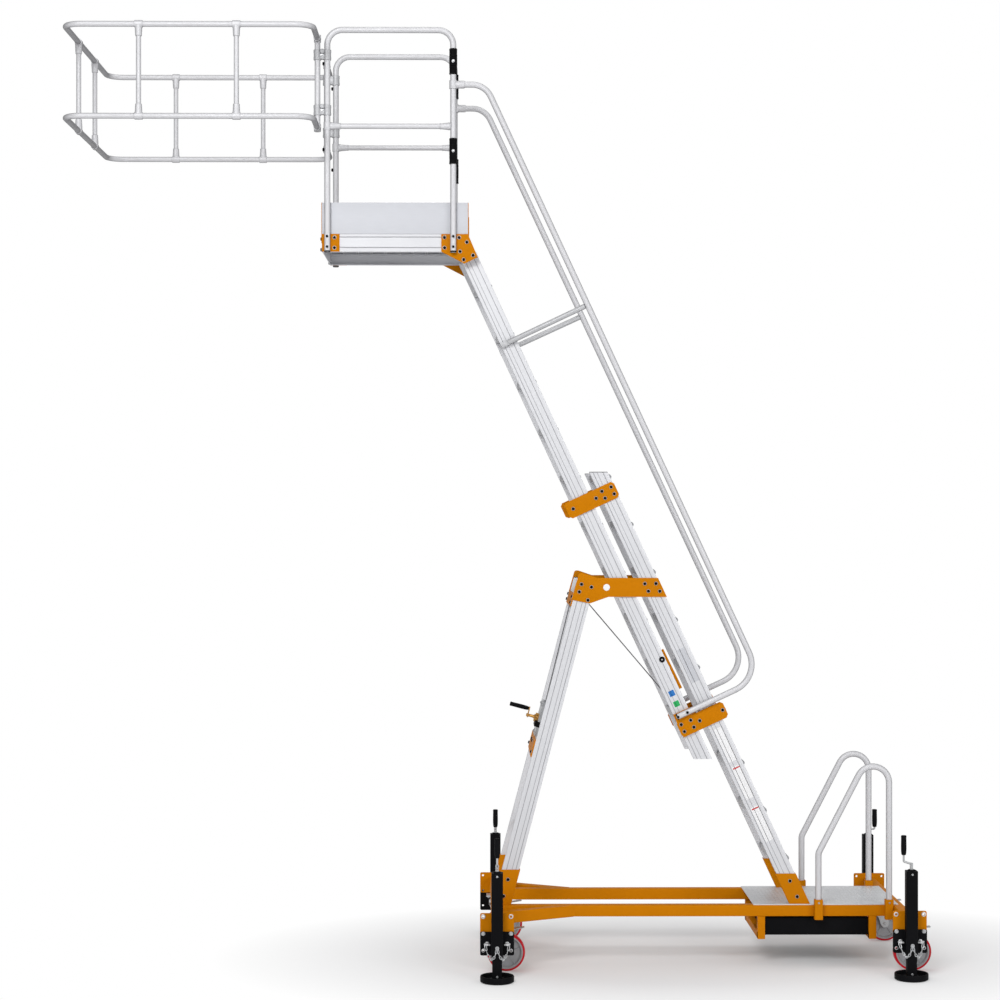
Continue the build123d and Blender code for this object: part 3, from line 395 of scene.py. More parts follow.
def dress(obj, look, body, stands_for=(), smooth=32.0):
    """Links an object, gives it its finish and ties it to its body."""
    bpy.context.scene.collection.objects.link(obj)
    mesh = obj.data
    mesh.materials.clear()
    mesh.materials.append(LOOKS[look])
    mesh.polygons.foreach_set("use_smooth", [True] * len(mesh.polygons))
    mesh.set_sharp_from_angle(angle=radians(smooth))
    if body:
        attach(obj, body)
    if stands_for:
        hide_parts(*stands_for)
    return obj


def softened(look, width, *nodes):
    """Copies of CAD nodes whose sharp edges are rounded, in their places."""
    for node in nodes:
        bm = bmesh.new()
        bm.from_mesh(frame["nodes"][node].data)
        bmesh.ops.remove_doubles(bm, verts=bm.verts, dist=2e-6)
        bmesh.ops.dissolve_limit(bm, angle_limit=radians(1.0), verts=bm.verts, edges=bm.edges)
        sharp = [e for e in bm.edges if len(e.link_faces) == 2 and e.calc_face_angle(0.0) > radians(40)]
        bmesh.ops.bevel(bm, geom=sharp, offset=width * MM, segments=2, profile=0.6,
                        affect="EDGES", clamp_overlap=False)
        mesh = bpy.data.meshes.new(node + "_soft")
        bm.to_mesh(mesh)
        bm.free()
        obj = bpy.data.objects.new(node + "_finished", mesh)
        dress(obj, look, NODE_BODY[node], (node,))


def shape_of(node, look, shape, smooth=32.0):
    """A detailed shape that stands for one CAD node."""
    return shape.make(node + "_finished", look, NODE_BODY[node], NODE_SLOT[node], (node,), smooth)


# Bolts are collected by body, and made at the end
BOLTS = {}


def bolt(body, at, axis, size=8.0, head="black"):
    """A screw head on a washer."""
    heads, washers = BOLTS.setdefault(body, {}).setdefault(head, (Shape(), Shape()))
    washer = ((0, 0), (1.3, 0), (1.3, 0.18), (1.22, 0.28), (0, 0.28))
    screw = ((0, 0.28), (0.95, 0.28), (1, 0.45), (1, 0.75), (0.82, 1), (0.45, 1), (0.38, 0.6), (0, 0.6))
    washers.lathe([(r * size, h * size) for r, h in washer], at, axis, 24)
    heads.lathe([(r * size, h * size) for r, h in screw], at, axis, 12)


def both_bolts(body, x, y, z, size=8.0):
    """A bolt on the left side and its mirror image."""
    for side in (-1, 1):
        bolt(body, (x, side * y, z), Y * side, size)


def make_bolts():
    for body, kinds in sorted(BOLTS.items()):
        for kind, (heads, washers) in sorted(kinds.items()):
            look, slot = ("plastic", "black_plastic") if kind == "black" else ("zinc", "zinc_steel")
            heads.make("bolt_heads_%s_%s" % (kind, body), look, body, slot)
            washers.make("bolt_washers_%s_%s" % (kind, body), "zinc", body, "zinc_steel")


# Base frame

def make_base():
    mid = RAIL_TOP - BEAM / 2
    beams = Shape()
    for x, reach in ((0.0, FRONT_REACH), (REAR_BEAM, REAR_REACH)):
        beams.bar((x, -reach, mid), (x, reach, mid), BEAM, BEAM, UP, 5.0)
    shape_of("cross_beams", "orange", beams)
    rail = Shape().bar((30, -RAIL_Y, mid), (REAR_BEAM - 30, -RAIL_Y, mid), BEAM, BEAM, UP, 5.0)
    shape_of("base_rails", "orange", rail.mirrored())
    outline = [(30, -505), (419, -RAIL_OUT), (294.1, -RAIL_OUT), (30, -436.6)]
    brace = Shape().plate(outline, UP * RAIL_LOW, X, Y, BEAM, 4.0)
    shape_of("front_braces", "orange", brace.mirrored())


def weld(shape, a, b, r):
    """A slightly uneven weld bead between two points."""
    a, b = Vector(a), Vector(b)
    pitch, wave = 5.0, 0.5
    count = max(2, int((b - a).length / pitch))
    shape.tube([a.lerp(b, i / count) + Vector([rng.uniform(-wave, wave) for _ in range(3)])
                for i in range(count + 1)], r, 8)


def make_beads():
    """Beads round the ends of the long rails and under the hangers' tops."""
    beads = Shape()
    for x in (30.0, REAR_BEAM - 30):
        for z in (RAIL_TOP - 1.5, RAIL_LOW + 1.5):
            weld(beads, (x, 6 - RAIL_OUT, z), (x, 54 - RAIL_OUT, z), 3.2)
        for y in (1.5 - RAIL_OUT, 58.5 - RAIL_OUT):
            weld(beads, (x, y, RAIL_LOW + 5), (x, y, RAIL_TOP - 5), 3.2)
    for middle in HANGER_X:
        for x in (middle - 19, middle + 19):
            weld(beads, (x, 3 - RAIL_OUT, RAIL_LOW - 0.5), (x, 36 - RAIL_OUT, RAIL_LOW - 0.5), 2.6)
    beads.mirrored().make("weld_beads", "orange", "base", "orange_paint")


CORNERS = [("%s_%s" % (end, hand), x, reach, side)
           for end, x, reach in (("front", 0.0, FRONT_REACH), ("rear", REAR_BEAM, REAR_REACH))
           for hand, side in (("left", -1), ("right", 1))]
JACK_OUT, SLEEVE_HALF, SLEEVE_TOP = 50.0, 30.0, 565.0
HOLE_ROWS, HOLE_X, HOLE_R = (331.0, 244.0, 157.0), 72.0, 6.5
PLATE_LOW, PLATE_HIGH, PLATE_SPLIT, PLATE_WIDTH, PLATE_THICK = 131.0, 348.0, 232.0, 176.0, 10.0
CARRIER_HIGH, GRIP_RISE = 253.0, {-1: 42.0, 1: 4.0}
GRIP = cap((7, 0), (9.5, 1.5), (9.5, 4), (10.4, 6), (11.4, 16), (12, 34), (12, 52), (11.6, 74),
           (11.4, 90), (11.9, 94), (11.9, 99), (10, 102))


def make_jacks(forks, grips):
    """The jacks with their plates and chains. Their cranks go into the two shapes given."""
    plates, lowers, sleeves, bushes, pins, chains = (Shape() for _ in range(6))
    for name, x, reach, side in CORNERS:
        y = side * (reach + JACK_OUT)
        add_bored_plates(plates, lowers, sleeves, bushes, Vector((x, side * reach, 0)), side)
        add_sleeve(sleeves, x, y, side)
        add_pins(pins, chains, x, side * reach, side)
        add_crank(forks, grips, Vector((x, y, 0)), X * side if x else -Y, GRIP_RISE[side])
        make_jack_leg("jack_leg_" + name, x, y, side)
    shape_of("jack_plates", "orange", plates)
    lowers.make("jack_plate_lowers", "black", "base", "black_paint")
    bushes.make("jack_bushes", "bright", "base", "zinc_steel")
    shape_of("jack_sleeves", "black", sleeves)
    pins.make("jack_pins", "bright", "base", "zinc_steel")
    chains.make("jack_chains", "zinc", "base", "zinc_steel")


def add_bored_plates(plates, lowers, sleeves, bushes, face, side):
    """The beam's bored plate in two colours, the carrier's plate on it and the bushes of their holes."""
    normal, u = Y * side, X * -side
    for shape, low, high, start, rows in ((plates, PLATE_SPLIT, PLATE_HIGH, 0.0, HOLE_ROWS[:2]),
                                          (lowers, PLATE_LOW, PLATE_SPLIT - 0.2, 0.0, HOLE_ROWS[2:]),
                                          (sleeves, PLATE_LOW, CARRIER_HIGH, PLATE_THICK, HOLE_ROWS[1:])):
        mid = (low + high) / 2
        holes = [(c * HOLE_X, z - mid, HOLE_R) for c in (-1, 1) for z in rows]
        shape.plate(round_rect(PLATE_WIDTH, high - low, 8), face + normal * start + UP * mid, u, UP,
                    PLATE_THICK, 1.2, holes)
    for c in (-1, 1):
        for z, start, wide in ((HOLE_ROWS[0], PLATE_THICK, 12.0), (HOLE_ROWS[2], 2 * PLATE_THICK, 9.0)):
            bushes.lathe([(6.6, 0), (wide, 0), (wide, 1.2), (wide - 1, 1.8), (6.6, 1.8)],
                         face + normal * start + Vector((c * HOLE_X, 0, z)), normal, 24, True)


def add_sleeve(sleeves, x, y, side):
    """A square tube that is open at its lower end, its cap, weld strips and the carrier's bolts."""
    wall, r = 4.0, 6.0
    outer = round_rect(2 * SLEEVE_HALF, 2 * SLEEVE_HALF, r)
    inner = round_rect(2 * (SLEEVE_HALF - wall), 2 * (SLEEVE_HALF - wall), r - wall + 1)
    sleeves.rings([[(x + a, y + b, z) for a, b in pts] for pts, z in (
        (inner, SLEEVE_TOP - wall), (inner, PLATE_LOW + 0.6), (inner, PLATE_LOW), (outer, PLATE_LOW),
        (outer, SLEEVE_TOP - 1.0), (inset(outer, 1.0), SLEEVE_TOP))])
    sleeves.lathe(cap((20, 0), (20, 4), (18, 6)), (x, y, SLEEVE_TOP), UP)
    for c in (-1, 1):
        edge = (x + c * SLEEVE_HALF, y - side * 29)
        sleeves.bar((*edge, PLATE_LOW + 8), (*edge, CARRIER_HIGH - 8), 7, 5, Y, 2.0)
        bolt("base", (x + c * HOLE_X, y - side * SLEEVE_HALF, HOLE_ROWS[1]), Y * side, 8.5, "bright")
    for z in (180.0, SLEEVE_TOP - 17):
        bolt("base", (x, y + side * SLEEVE_HALF, z), Y * side, 4.5, "bright")


def add_pins(pins, chains, x, y, side):
    """Two pins, hung by light chains from a ring on the sleeve."""
    normal = Y * side
    for c in (-1, 1):
        hook = Vector((x + c * 52, y + side * 21, 192.0))
        pins.lathe([(0, -1), (11, -1), (11, 3), (7, 4), (7, 26), (6, 28), (0, 28)], hook, normal, 18)
        head = hook + normal * 20
        pins.tube([head - Vector((c * 15, 0, 3)), head + Vector((c * 16, 0, 2))], 4.5, 10)
        add_chain(chains, hook + normal * 26 + Vector((c * 10, 0, -3)), Vector((x, y + side * 86, 178.0)))
    chains.lathe([(6, -2), (10, -2), (10, 2), (6, 2)], (x, y + side * 83, 180), normal, 20, True)


def add_chain(shape, a, b):
    """A light chain of oval links that hangs between two points, clear of the sleeve."""
    count, sag = 9, 62.0
    path = []
    for t in (i / count for i in range(count + 1)):
        spot = a.lerp(b, t) - UP * sag * 4 * t * (1 - t)
        spot.y = a.y + (b.y - a.y) * min(1.0, t / 0.4)
        path.append(spot)
    for i, (p, q) in enumerate(zip(path, path[1:])):
        along = (q - p).normalized()
        side = Y if i % 2 else along.cross(Y).normalized()
        mid, half = (p + q) / 2, (q - p).length / 2 + 2.4
        circle = ring_points(1.0, 12)
        shape.tube([mid + along * half * a + side * 5.2 * b for a, b in circle + circle[:1]], 2.1, 8)


def add_crank(forks, grips, centre, way, rise):
    """A folding crank: fork, bent arm and a barrel grip."""
    base, top, across = SLEEVE_TOP + 6, SLEEVE_TOP + 40, UP.cross(way)
    for side in (centre - across * 6.0, centre + across * 6.0):
        forks.bar(side + UP * base, side + UP * top, 4.0, 15.0, way, 1.5)
    forks.lathe(collar(0, 4, 4.5, 9, 1), centre + UP * (top - 8), across, 14)
    forks.lathe(cap((9, 0), (9, 8), (7, 10)), centre + UP * (base - 1), UP, 18)
    end, grip = centre + way * 40.0, top - 1 + rise
    knee = min(top + 7, grip - 12)
    forks.tube(rounded([centre + UP * (top - 22), centre + UP * min(top - 5, knee), end + UP * knee,
                        end + UP * (grip + 40)], (7.0, 7.0), 7), 5.4, 14)
    grips.lathe([(r * 1.2, h) for r, h in GRIP], end + UP * grip, UP, 28)


def make_jack_leg(node, x, y, side):
    """A square leg on a dish foot."""
    leg = Shape().bar((x, y, 12), (x, y, 470), 51, 51, Y, 4.0)
    leg.lathe(cap((80, 0), (87.9, 5), (87.9, 30), (86, 34), (82, 34), (80, 31), (79, 16), (60, 12)),
              (x, y, 0), UP, 48)
    leg.lathe([(44, 12), (44, 15), (38, 20), (27, 22), (27, 12)], (x, y, 0), UP, 32)
    shape_of(node, "black", leg)
    bolt(NODE_BODY[node], (x, y + side * 25.5, 30.0), Y * side, 5.0, "bright")


CASTOR_Y, CASTOR_TRAIL, WHEEL_R = 410.0, 50.0, 100.0


def make_castors():
    plates = Shape()
    for name, x, _, side in CORNERS:
        y = side * CASTOR_Y
        plates.plate(round_rect(105, 85, 8), (x, y, RAIL_LOW - 8), X, Y, 8.0, 1.0)
        plates.lathe(cap((20, 0), (26, 4), (26, 10), (22, 16.4)), (x, y, RAIL_LOW - 24.4), UP, 32)
        for a, b in ((-40, -30), (-40, 30), (40, -30), (40, 30)):
            bolt("base", (x + a, y + b, RAIL_LOW - 8), -UP, 6.0, "bright")
        make_fork("castor_fork_" + name, x, y)
        make_wheel("wheel_" + name, Vector((x + CASTOR_TRAIL, y, WHEEL_R)))
    shape_of("castor_plates", "zinc", plates)


def make_fork(node, x, y):
    """A swivel head, two cheeks, the axle and a ribbed brake pedal."""
    hub_x = x + CASTOR_TRAIL
    fork = Shape().lathe(cap((30, 0), (36, 3), (38, 8), (38, 15), (34, 21), (24, 22)), (x, y, 216), UP, 36)
    top = [(x - 38, y - 37), (hub_x + 2, y - 37), (hub_x + 2, y + 37), (x - 38, y + 37)]
    fork.plate(top, (0, 0, 210), X, Y, 6.0)
    for cheek, face in ((-1, y - 31), (1, y + 37)):
        outline = [(x - 38, 216), (hub_x - 2, 216), (hub_x + 6, 190), (hub_x + 22, 112), (hub_x + 22, 92),
                   (hub_x + 12, 80), (hub_x - 8, 78), (hub_x - 22, 92), (hub_x - 34, 130), (x - 30, 196)]
        fork.plate(outline, (0, face, 0), X, UP, 6.0)
        bolt(NODE_BODY[node], (hub_x, y + cheek * 37, WHEEL_R), Y * cheek, 8.0, "bright")
    fork.lathe(cap((6, -37), (6, 37)), (hub_x, y, WHEEL_R), Y, 16)
    pedal = [(x + 20, 212), (hub_x, 212), (hub_x + 40, 219), (x + 146, 228), (x + 146, 232),
             (hub_x + 38, 223.5), (hub_x, 216), (x + 20, 216)]
    fork.plate(pedal, (0, y + 20, 0), X, UP, 40.0)
    for k in range(4):
        rib_x, rib_z = x + 118 + 7 * k, 229.2 + 0.5 * k
        fork.bar((rib_x, y - 17, rib_z), (rib_x, y + 17, rib_z), 2.4, 3.0, UP, 0.8)
    shape_of(node, "zinc", fork)


def make_wheel(node, hub):
    """A red tread on a moulded rim with five spokes."""
    tread = Shape().lathe(even([(88, -21), (90, -23.5), (97, -22), (99.6, -17), (100, -10)]) + [(86, 0)],
                          hub, Y, 64, True)
    rim = Shape().lathe(even([(6.1, -29), (14, -29), (15, -28), (26, -24), (28, -12), (34, -11), (60, -9.5),
                              (74, -11), (78, -20), (82, -23), (88.5, -22)]), hub, Y, 64, True)
    for k in range(5):
        angle = tau * k / 5 + 0.3
        way = Vector((cos(angle), 0, sin(angle)))
        for y in (-10.5, 10.5):
            rim.bar(hub + way * 26 + Y * y, hub + way * 76 + Y * y, 5.0, 9.0, Y, 2.0)
    rim.make(node + "_rim", "rim", NODE_BODY[node], "wheel_polymer")
    tread.make(node + "_tread", "tyre", NODE_BODY[node], "wheel_polymer", (node,))


# Entry end

def make_step_deck():
    low, high = local_box("step_deck")
    deck = Shape().block(low, high, 1.0)
    pitch, row_gap = 26.0, 21.0
    row, x = 0, low.x + 22.0
    while x < high.x - 18:
        y = low.y + 22.0 + (pitch / 2 if row % 2 else 0.0)
        while y < high.y - 18:
            way = 1 if (row + int((y - low.y) / pitch)) % 2 else -1
            add_lozenge(deck, Vector((x, y, high.z - 0.3)), way)
            y += pitch
        x += row_gap
        row += 1
    shape_of("step_deck", "chequer", deck)


def add_lozenge(shape, at, way):
    """One raised bar of the chequer plate."""
    along = Vector((1, way, 0)).normalized() * 13
    side = Vector((-along.y, along.x, 0)).normalized() * 3.2
    base = [at - along, at + side, at + along, at - side]
    shape.rings([base, [at + (p - at) * 0.62 + UP * 1.5 for p in base]])


def make_ballast():
    hangers = Shape()
    for x in HANGER_X:
        for y in (-272.0, 272.0):
            hangers.bar((x, y, RAIL_LOW), (x, y, 141.0), 40, 40, Y, 4.0)
        hangers.bar((x, -290, 161), (x, 290, 161), 40, 40, UP, 4.0)
    shape_of("ballast_hangers", "orange", hangers)
    low, high = local_box("ballast_box")
    box = Shape().block(low, high, 3.0)
    for z in (low.z + 10.0, high.z - 10.0):
        for y in (low.y + 0.2, high.y - 0.2):
            box.bar((low.x + 4, y, z), (high.x - 4, y, z), 3.0, 1.2, UP, 0.5)
    shape_of("ballast_box", "black", box)


def make_entry_handrails():
    rails, sockets = Shape(), Shape()
    y, foot, bend, slope, ends = 314.0, RAIL_LOW + 1, 605.0, radians(62.6), (1720.0, 2098.0)
    tip = bend + (ends[1] - ends[0]) * tan(slope)
    path = [(ends[0], -y, foot), (ends[0], -y, bend), (ends[1], -y, tip), (ends[1], -y, foot)]
    rails.tube(rounded(path, (60, 86)), 16.5, 28)
    shape_of("entry_handrails", "tube", rails.mirrored())
    for x in ends:
        for side in (-1, 1):
            sockets.bar((x, side * y, RAIL_LOW - 12), (x, side * y, RAIL_TOP + 34), 44, 44, Y, 5.0)
            lip = [(18.5, 0), (21, 0), (21, 1.5), (18.5, 1.5)]
            sockets.lathe(lip, (x, side * y, RAIL_TOP + 33.5), UP, 28, True)
            bolt("base", (x, side * (y + 22), RAIL_TOP + 18), Y * side, 4.5, "bright")
    shape_of("handrail_sockets", "orange", sockets)


# Ladders and strut

def stile_section(out):
    """Section of a stile on the left side: pairs of place across the leaning face and Y."""
    h, inner = STILE_DEPTH / 2, out - STILE_WIDTH
    outside = [(2.5 - h, 0), (-29.5, 0), (-28.0, 1.6), (-26.2, 1.6), (-25.4, 0.9), (-9.0, 0.9), (-8.4, 1.5),
               (-7.0, 1.5), (-6.4, 0.9), (19.0, 0.9), (20.0, 1.9), (21.6, 1.9), (23.0, 0.3), (26.0, 0),
               (h - 2.5, 0)]
    edge = [(h - 0.7, 0.7 - out), (h, 2.5 - out), (h, 10 - out), (h - 1.2, 11 - out), (h - 1.2, -inner - 11),
            (h, -inner - 10), (h, -inner - 2.5), (h - 0.7, -inner - 0.7), (h - 2.5, -inner)]
    inside = [(18, -inner), (17, -inner - 1), (-17, -inner - 1), (-18, -inner)]
    return [(a, b - out) for a, b in outside] + edge + inside + [(-a, y) for a, y in reversed(edge)]


def leaning(shape, section, x_at, z0, z1):
    """A section drawn up along a leaning axis, with level ends."""
    return shape.rings([[(x_at(z, a), y, z) for a, y in section] for z in (z0, z1)])


STILES = (
    # node, axis, lower end, upper end, outer face, finish, way that the wide flange faces
    ("fixed_stiles", ladder_x, 333.0, FIXED_TOP, STILE_OUT, "ladder", 1),
    ("mast_stiles", mast_x, 1103.0, DECK_FLOOR, MAST_OUT, "ladder", 1),
    ("strut_stiles", strut_x, 328.0, STRUT_TOP, STILE_OUT, "strut", -1),
)


def make_stiles():
    for node, x_at, z0, z1, out, look, flip in STILES:
        section = [(a * flip, y) for a, y in stile_section(out)]
        shape_of(node, look, leaning(Shape(), section, x_at, z0, z1).mirrored(), 25.0)
        # Thin dark strips in the stile's grooves: painted shade, as the real grooves are too shallow to
        # shade
        lines = Shape()
        for a, b in ((-28.4, -25.8), (-8.6, -6.4), (19.6, 22.4)):
            strip = ((a, 0.5), (b, 0.5), (b, 2.4), (a, 2.4))
            leaning(lines, [(c * flip, y - out) for c, y in strip], x_at, z0 + 0.5, z1 - 0.5)
        lines.mirrored().make(node + "_lines", "groove", NODE_BODY[node], "bare_aluminium")
    caps = Shape()
    for x_at, z in ((ladder_x, FIXED_TOP), (strut_x, STRUT_TOP)):
        corners = ((-45, -STILE_OUT), (45, -STILE_OUT), (45, 30 - STILE_OUT), (-45, 30 - STILE_OUT))
        caps.rings([[(x_at(z + dz, a * w), y, z + dz) for a, y in corners]
                    for w, dz in ((0.99, -0.5), (0.99, 1.2), (0.93, 2.4))])
    caps.mirrored().make("stile_end_caps", "plastic", "base", "black_plastic")


def tread_section(nose, z):
    """Closed section of a ribbed tread: X and Z pairs."""
    top, low, back = z + 15, z - 15, nose - TREAD_DEPTH
    out = [(back, low + 1), (back + 1, low), (nose - 16, low)]
    for a in (radians(d) for d in range(15, 151, 15)):
        out.append((nose - 15 + 14.6 * sin(a), z - 14.6 * cos(a)))
    x = nose - 10.0
    while x > back + 8:
        out += [(x, top), (x - 3.4, top), (x - 4.4, top - 1.8), (x - 6.6, top - 1.8), (x - 7.6, top)]
        x -= 7.6
    return out + [(back + 1, top), (back, top - 1)]


TREADS = (
    # node, count, height of the first, axis, reach of the nose past the stile, half length
    ("fixed_treads", 9, 568.0, ladder_x, 10.0, STILE_OUT - STILE_WIDTH - 0.6),
    ("mast_treads", 10, 1335.0, mast_x, 3.0, MAST_OUT - STILE_WIDTH),
)


def make_treads():
    end = 1 - TREAD_DEPTH
    around = ((end, -14), (-16, -14), (-4, -8), (-1, 0), (-4, 8), (-16, 14), (end, 14), (end, -14))
    for node, count, first, x_at, nose, reach in TREADS:
        shape, rims = Shape(), Shape()
        for z in (first + TREAD_RISE * i for i in range(count)):
            tip = x_at(z, STILE_DEPTH / 2) + nose
            section = tread_section(tip, z)
            shape.rings([[(a, y, b) for a, b in section] for y in (-reach, reach)])
            for y in (1.7 - reach, reach - 1.7):
                rims.tube([(tip + a, y, z + b) for a, b in around], 1.6, 6)
        shape_of(node, "tread", shape, 24.0)
        rims.make(node + "_weld_rims", "fitting", NODE_BODY[node], "bare_aluminium")


# X and Z of bolts, then places up and across the ladder
FOOT_BOLTS = ((1572, 451), (1611, 367), (61, 461), (37, 372))
HEAD_BOLTS = ((455, 2041), (443, 2001), (508, 2026), (489, 1956), (794, 2044), (854, 2045), (813, 2004),
              (874, 2004))
GUIDE_BOLTS = ((2417, 27), (2417, -27), (2458, 27), (2458, -27), (2437, -71), (2437, -206))
CARRIAGE_BOLTS = ((1105, -170), (1105, -114), (1146, -170), (1146, -114), (1123, -71), (1123, 64))


def make_brackets():
    softened("orange", 1.2, "ladder_foot_brackets", "strut_foot_brackets", "head_brackets", "guide_brackets")
    softened("orange", 1.0, "carriage_brackets")
    softened("tube", 0.6, "strut_cross_tubes")
    for x, z in FOOT_BOLTS + HEAD_BOLTS:
        both_bolts("base", x, BRACKET_OUT, z)
    for body, spots, out in (("base", GUIDE_BOLTS, BRACKET_OUT), ("mast", CARRIAGE_BOLTS, CARRIAGE_OUT)):
        for p in (on_ladder(u, v) for u, v in spots):
            both_bolts(body, p.x, out, p.z)


# Platform and cage

def make_deck_frame(low, high):
    floor, top, inner = DECK_FLOOR, DECK_TOP, DECK_Y - 4
    section = [(0, floor + 1), (1, floor), (30, floor), (30, floor + 4), (4, floor + 4), (4, top - 38),
               (30, top - 38), (30, top - 34), (4, top - 34), (4, top - 4), (30, top - 4), (30, top),
               (1, top), (0, top - 1)]
    for z in DECK_GROOVES:
        section += [(0, z + 2.7), (1.6, z + 1.3), (1.6, z - 1.3), (0, z - 2.7)]
    profile = Shape().rings([[(x, a - DECK_Y, b) for a, b in section] for x in (low.x, high.x)]).mirrored()
    profile.block((low.x + 0.2, -inner, floor), (low.x + 4, inner, top), 0.8)
    profile.block((high.x - 4, -inner, top - 34), (high.x - 0.2, inner, top), 0.8)
    shape_of("deck_frame", "deck", profile, 25.0)
    # Thin dark strips in the deck's grooves and along its top edge: painted shade
    lines = Shape()
    for z, thick in ((DECK_GROOVES[0] - 0.1, 3.0), (DECK_GROOVES[1], 3.0), (top + 0.6, 2.2)):
        lines.bar((low.x + 1, 0.8 - DECK_Y, z), (high.x - 1, 0.8 - DECK_Y, z), 2.0, thick, UP, 0.3)
    lines.mirrored().make("deck_lines", "groove", "mast", "bare_aluminium")


def make_deck_boards(low, high, count=10, ribs=6):
    boards = Shape()
    room = (high.x - low.x - 8) / count
    top, bottom, reach = DECK_TOP - 4.3, DECK_TOP - 33.7, DECK_Y - 4.4
    dip = top - 1.4
    for x0 in (low.x + 7 + i * room for i in range(count)):
        x1 = x0 + room - 6
        outline = [(x0, bottom), (x0 + 3, bottom), (x0 + 3, top - 3), (x1 - 3, top - 3), (x1 - 3, bottom),
                   (x1, bottom), (x1, top)]
        w = (x1 - x0) / ribs
        for a in (x1 - k * w for k in range(ribs)):
            outline += [(a - 1, top), (a - w * 0.55, top), (a - w * 0.6, dip), (a - w * 0.95, dip)]
        outline.append((x0, top - 0.2))
        boards.rings([[(a, y, b) for a, b in outline] for y in (-reach, reach)])
    shape_of("deck_boards", "deck", boards, 25.0)


DECK_BOLTS = ((-864, 3890), (-864, 3835), (-908, 3894), (-908, 3839), (-278, 3891), (-278, 3836),
              (-200, 3890), (-159, 3866), (-195, 3816), (-126, 3796), (-176, 3773))


def make_platform():
    low, high = local_box("deck_frame")
    make_deck_frame(low, high)
    make_deck_boards(low, high)
    low, high = local_box("side_toe_boards")
    top = high.z
    outline = [(0, DECK_TOP), (0, top - 1.2), (0.6, top), (2.4, top), (3, top - 1.2), (3, DECK_TOP)]
    toe = Shape().rings([[(x, a - DECK_Y, b) for a, b in outline] for x in (low.x, high.x)])
    shape_of("side_toe_boards", "sheet", toe.mirrored())
    softened("orange", 0.9, "end_toe_plates", "deck_corner_brackets", "deck_gussets")
    softened("ladder", 1.5, "mast_head_blocks")
    for x, z in DECK_BOLTS:
        both_bolts("mast", x, DECK_Y + 5, z)
    for x in (FRONT_POST, REAR_POST):
        for z in (3893.0, 3838.0):
            both_bolts("mast", x, POST_Y + 15.6, z, 7.0)
    bracket_front = local_box("deck_corner_brackets")[0].x
    for z in (3884.0, 3827.0):
        for y in (-312.0, 312.0):
            bolt("mast", (bracket_front, y, z), -X, 9.0)


def make_guard_rails():
    front, rear = Vector((FRONT_POST, -POST_Y, 0)), Vector((REAR_POST, -POST_Y, 0))
    foot, mid, top = UP * 3808.0, UP * MID_Z, UP * GUARD_TOP
    guard = Shape().tube(rounded([front + foot, front + top, rear + top, rear + foot], (80, 80)), POST_R, 28)
    shape_of("guard_rails", "tube", guard.mirrored())
    mids = Shape().tube([front + mid + X * 14, rear + mid - X * 14], 14, 24)
    plugs, knobs = Shape(), Shape()
    for post, way in ((front, X), (rear, -X)):
        plugs.lathe(cap((14, -3), (16.6, -1), (16.8, 6), (16.2, 7)), post + foot + UP * 3, UP)
        mids.lathe(cap((17.5, 13), (19, 16), (20, 22), (20, 26), (18.6, 30), (15.5, 62), (15.5, 66),
                       (16.6, 67), (16.6, 70), (14, 71)), post + mid, way)
    mids.lathe(collar(16.1, 18.5, 19.5, 22), front + mid, UP, 28, True)
    plugs.mirrored().make("post_plugs", "plastic", "mast", "black_plastic")
    shape_of("mid_rails", "tube", mids.mirrored())
    for z in (4812.0, 4355.0):
        knobs.lathe(cap((9, 0), (10, 2), (9, 8), (6, 10)), front - X * 15.8 + UP * z, -X, 20)
    knobs.mirrored().make("post_knobs", "plastic", "mast", "black_plastic")


def make_cage():
    rails, posts = Shape(), Shape()
    for z in (CAGE_LOW, CAGE_TOP):
        path = [(CAGE_BACK, -POST_Y - 15.3, z), (CAGE_BACK, -CAGE_Y, z), (CAGE_FRONT, -CAGE_Y, z),
                (CAGE_FRONT, CAGE_Y, z), (CAGE_BACK, CAGE_Y, z), (CAGE_BACK, POST_Y + 15.3, z)]
        rails.tube(rounded(path, (90, 90, 90, 90), 12), TUBE_R, 24)
    shape_of("cage_rails", "tube", rails)
    spots = [(CAGE_FRONT + step, side * CAGE_Y, X) for step in (390.0, 894.0) for side in (-1, 1)]
    for x, y, along in spots + [(CAGE_FRONT, -250.0, Y), (CAGE_FRONT, 250.0, Y)]:
        posts.tube([(x, y, CAGE_LOW), (x, y, CAGE_TOP)], 13, 24)
        for z, way in ((CAGE_LOW, UP), (CAGE_TOP, -UP)):
            posts.lathe(collar(15.1, 18, 19.5, 21), (x, y, z), along, 32, True)
            posts.lathe(cap((19, 8), (19, 22), (17, 56), (17, 60), (16.2, 62), (13, 63.5)), (x, y, z), way)
    for side in (-1, 1):
        y = side * POST_Y
        posts.tube([(CAGE_BACK, y, CAGE_LOW - 19.5), (CAGE_BACK, y, CAGE_TOP + 19.5)], TUBE_R, 24)
        for at in ((CAGE_BACK, y, CAGE_LOW), (CAGE_BACK, y, CAGE_TOP)):
            posts.lathe([(15.1, 0), (19.5, 0), (19.5, 40), (18, 42), (15.1, 42)], at, Y * side, 28, True)
            posts.lathe(collar(0, 17, 18.5, 20), at, UP)
    shape_of("cage_posts", "tube", posts)
    make_couplers()


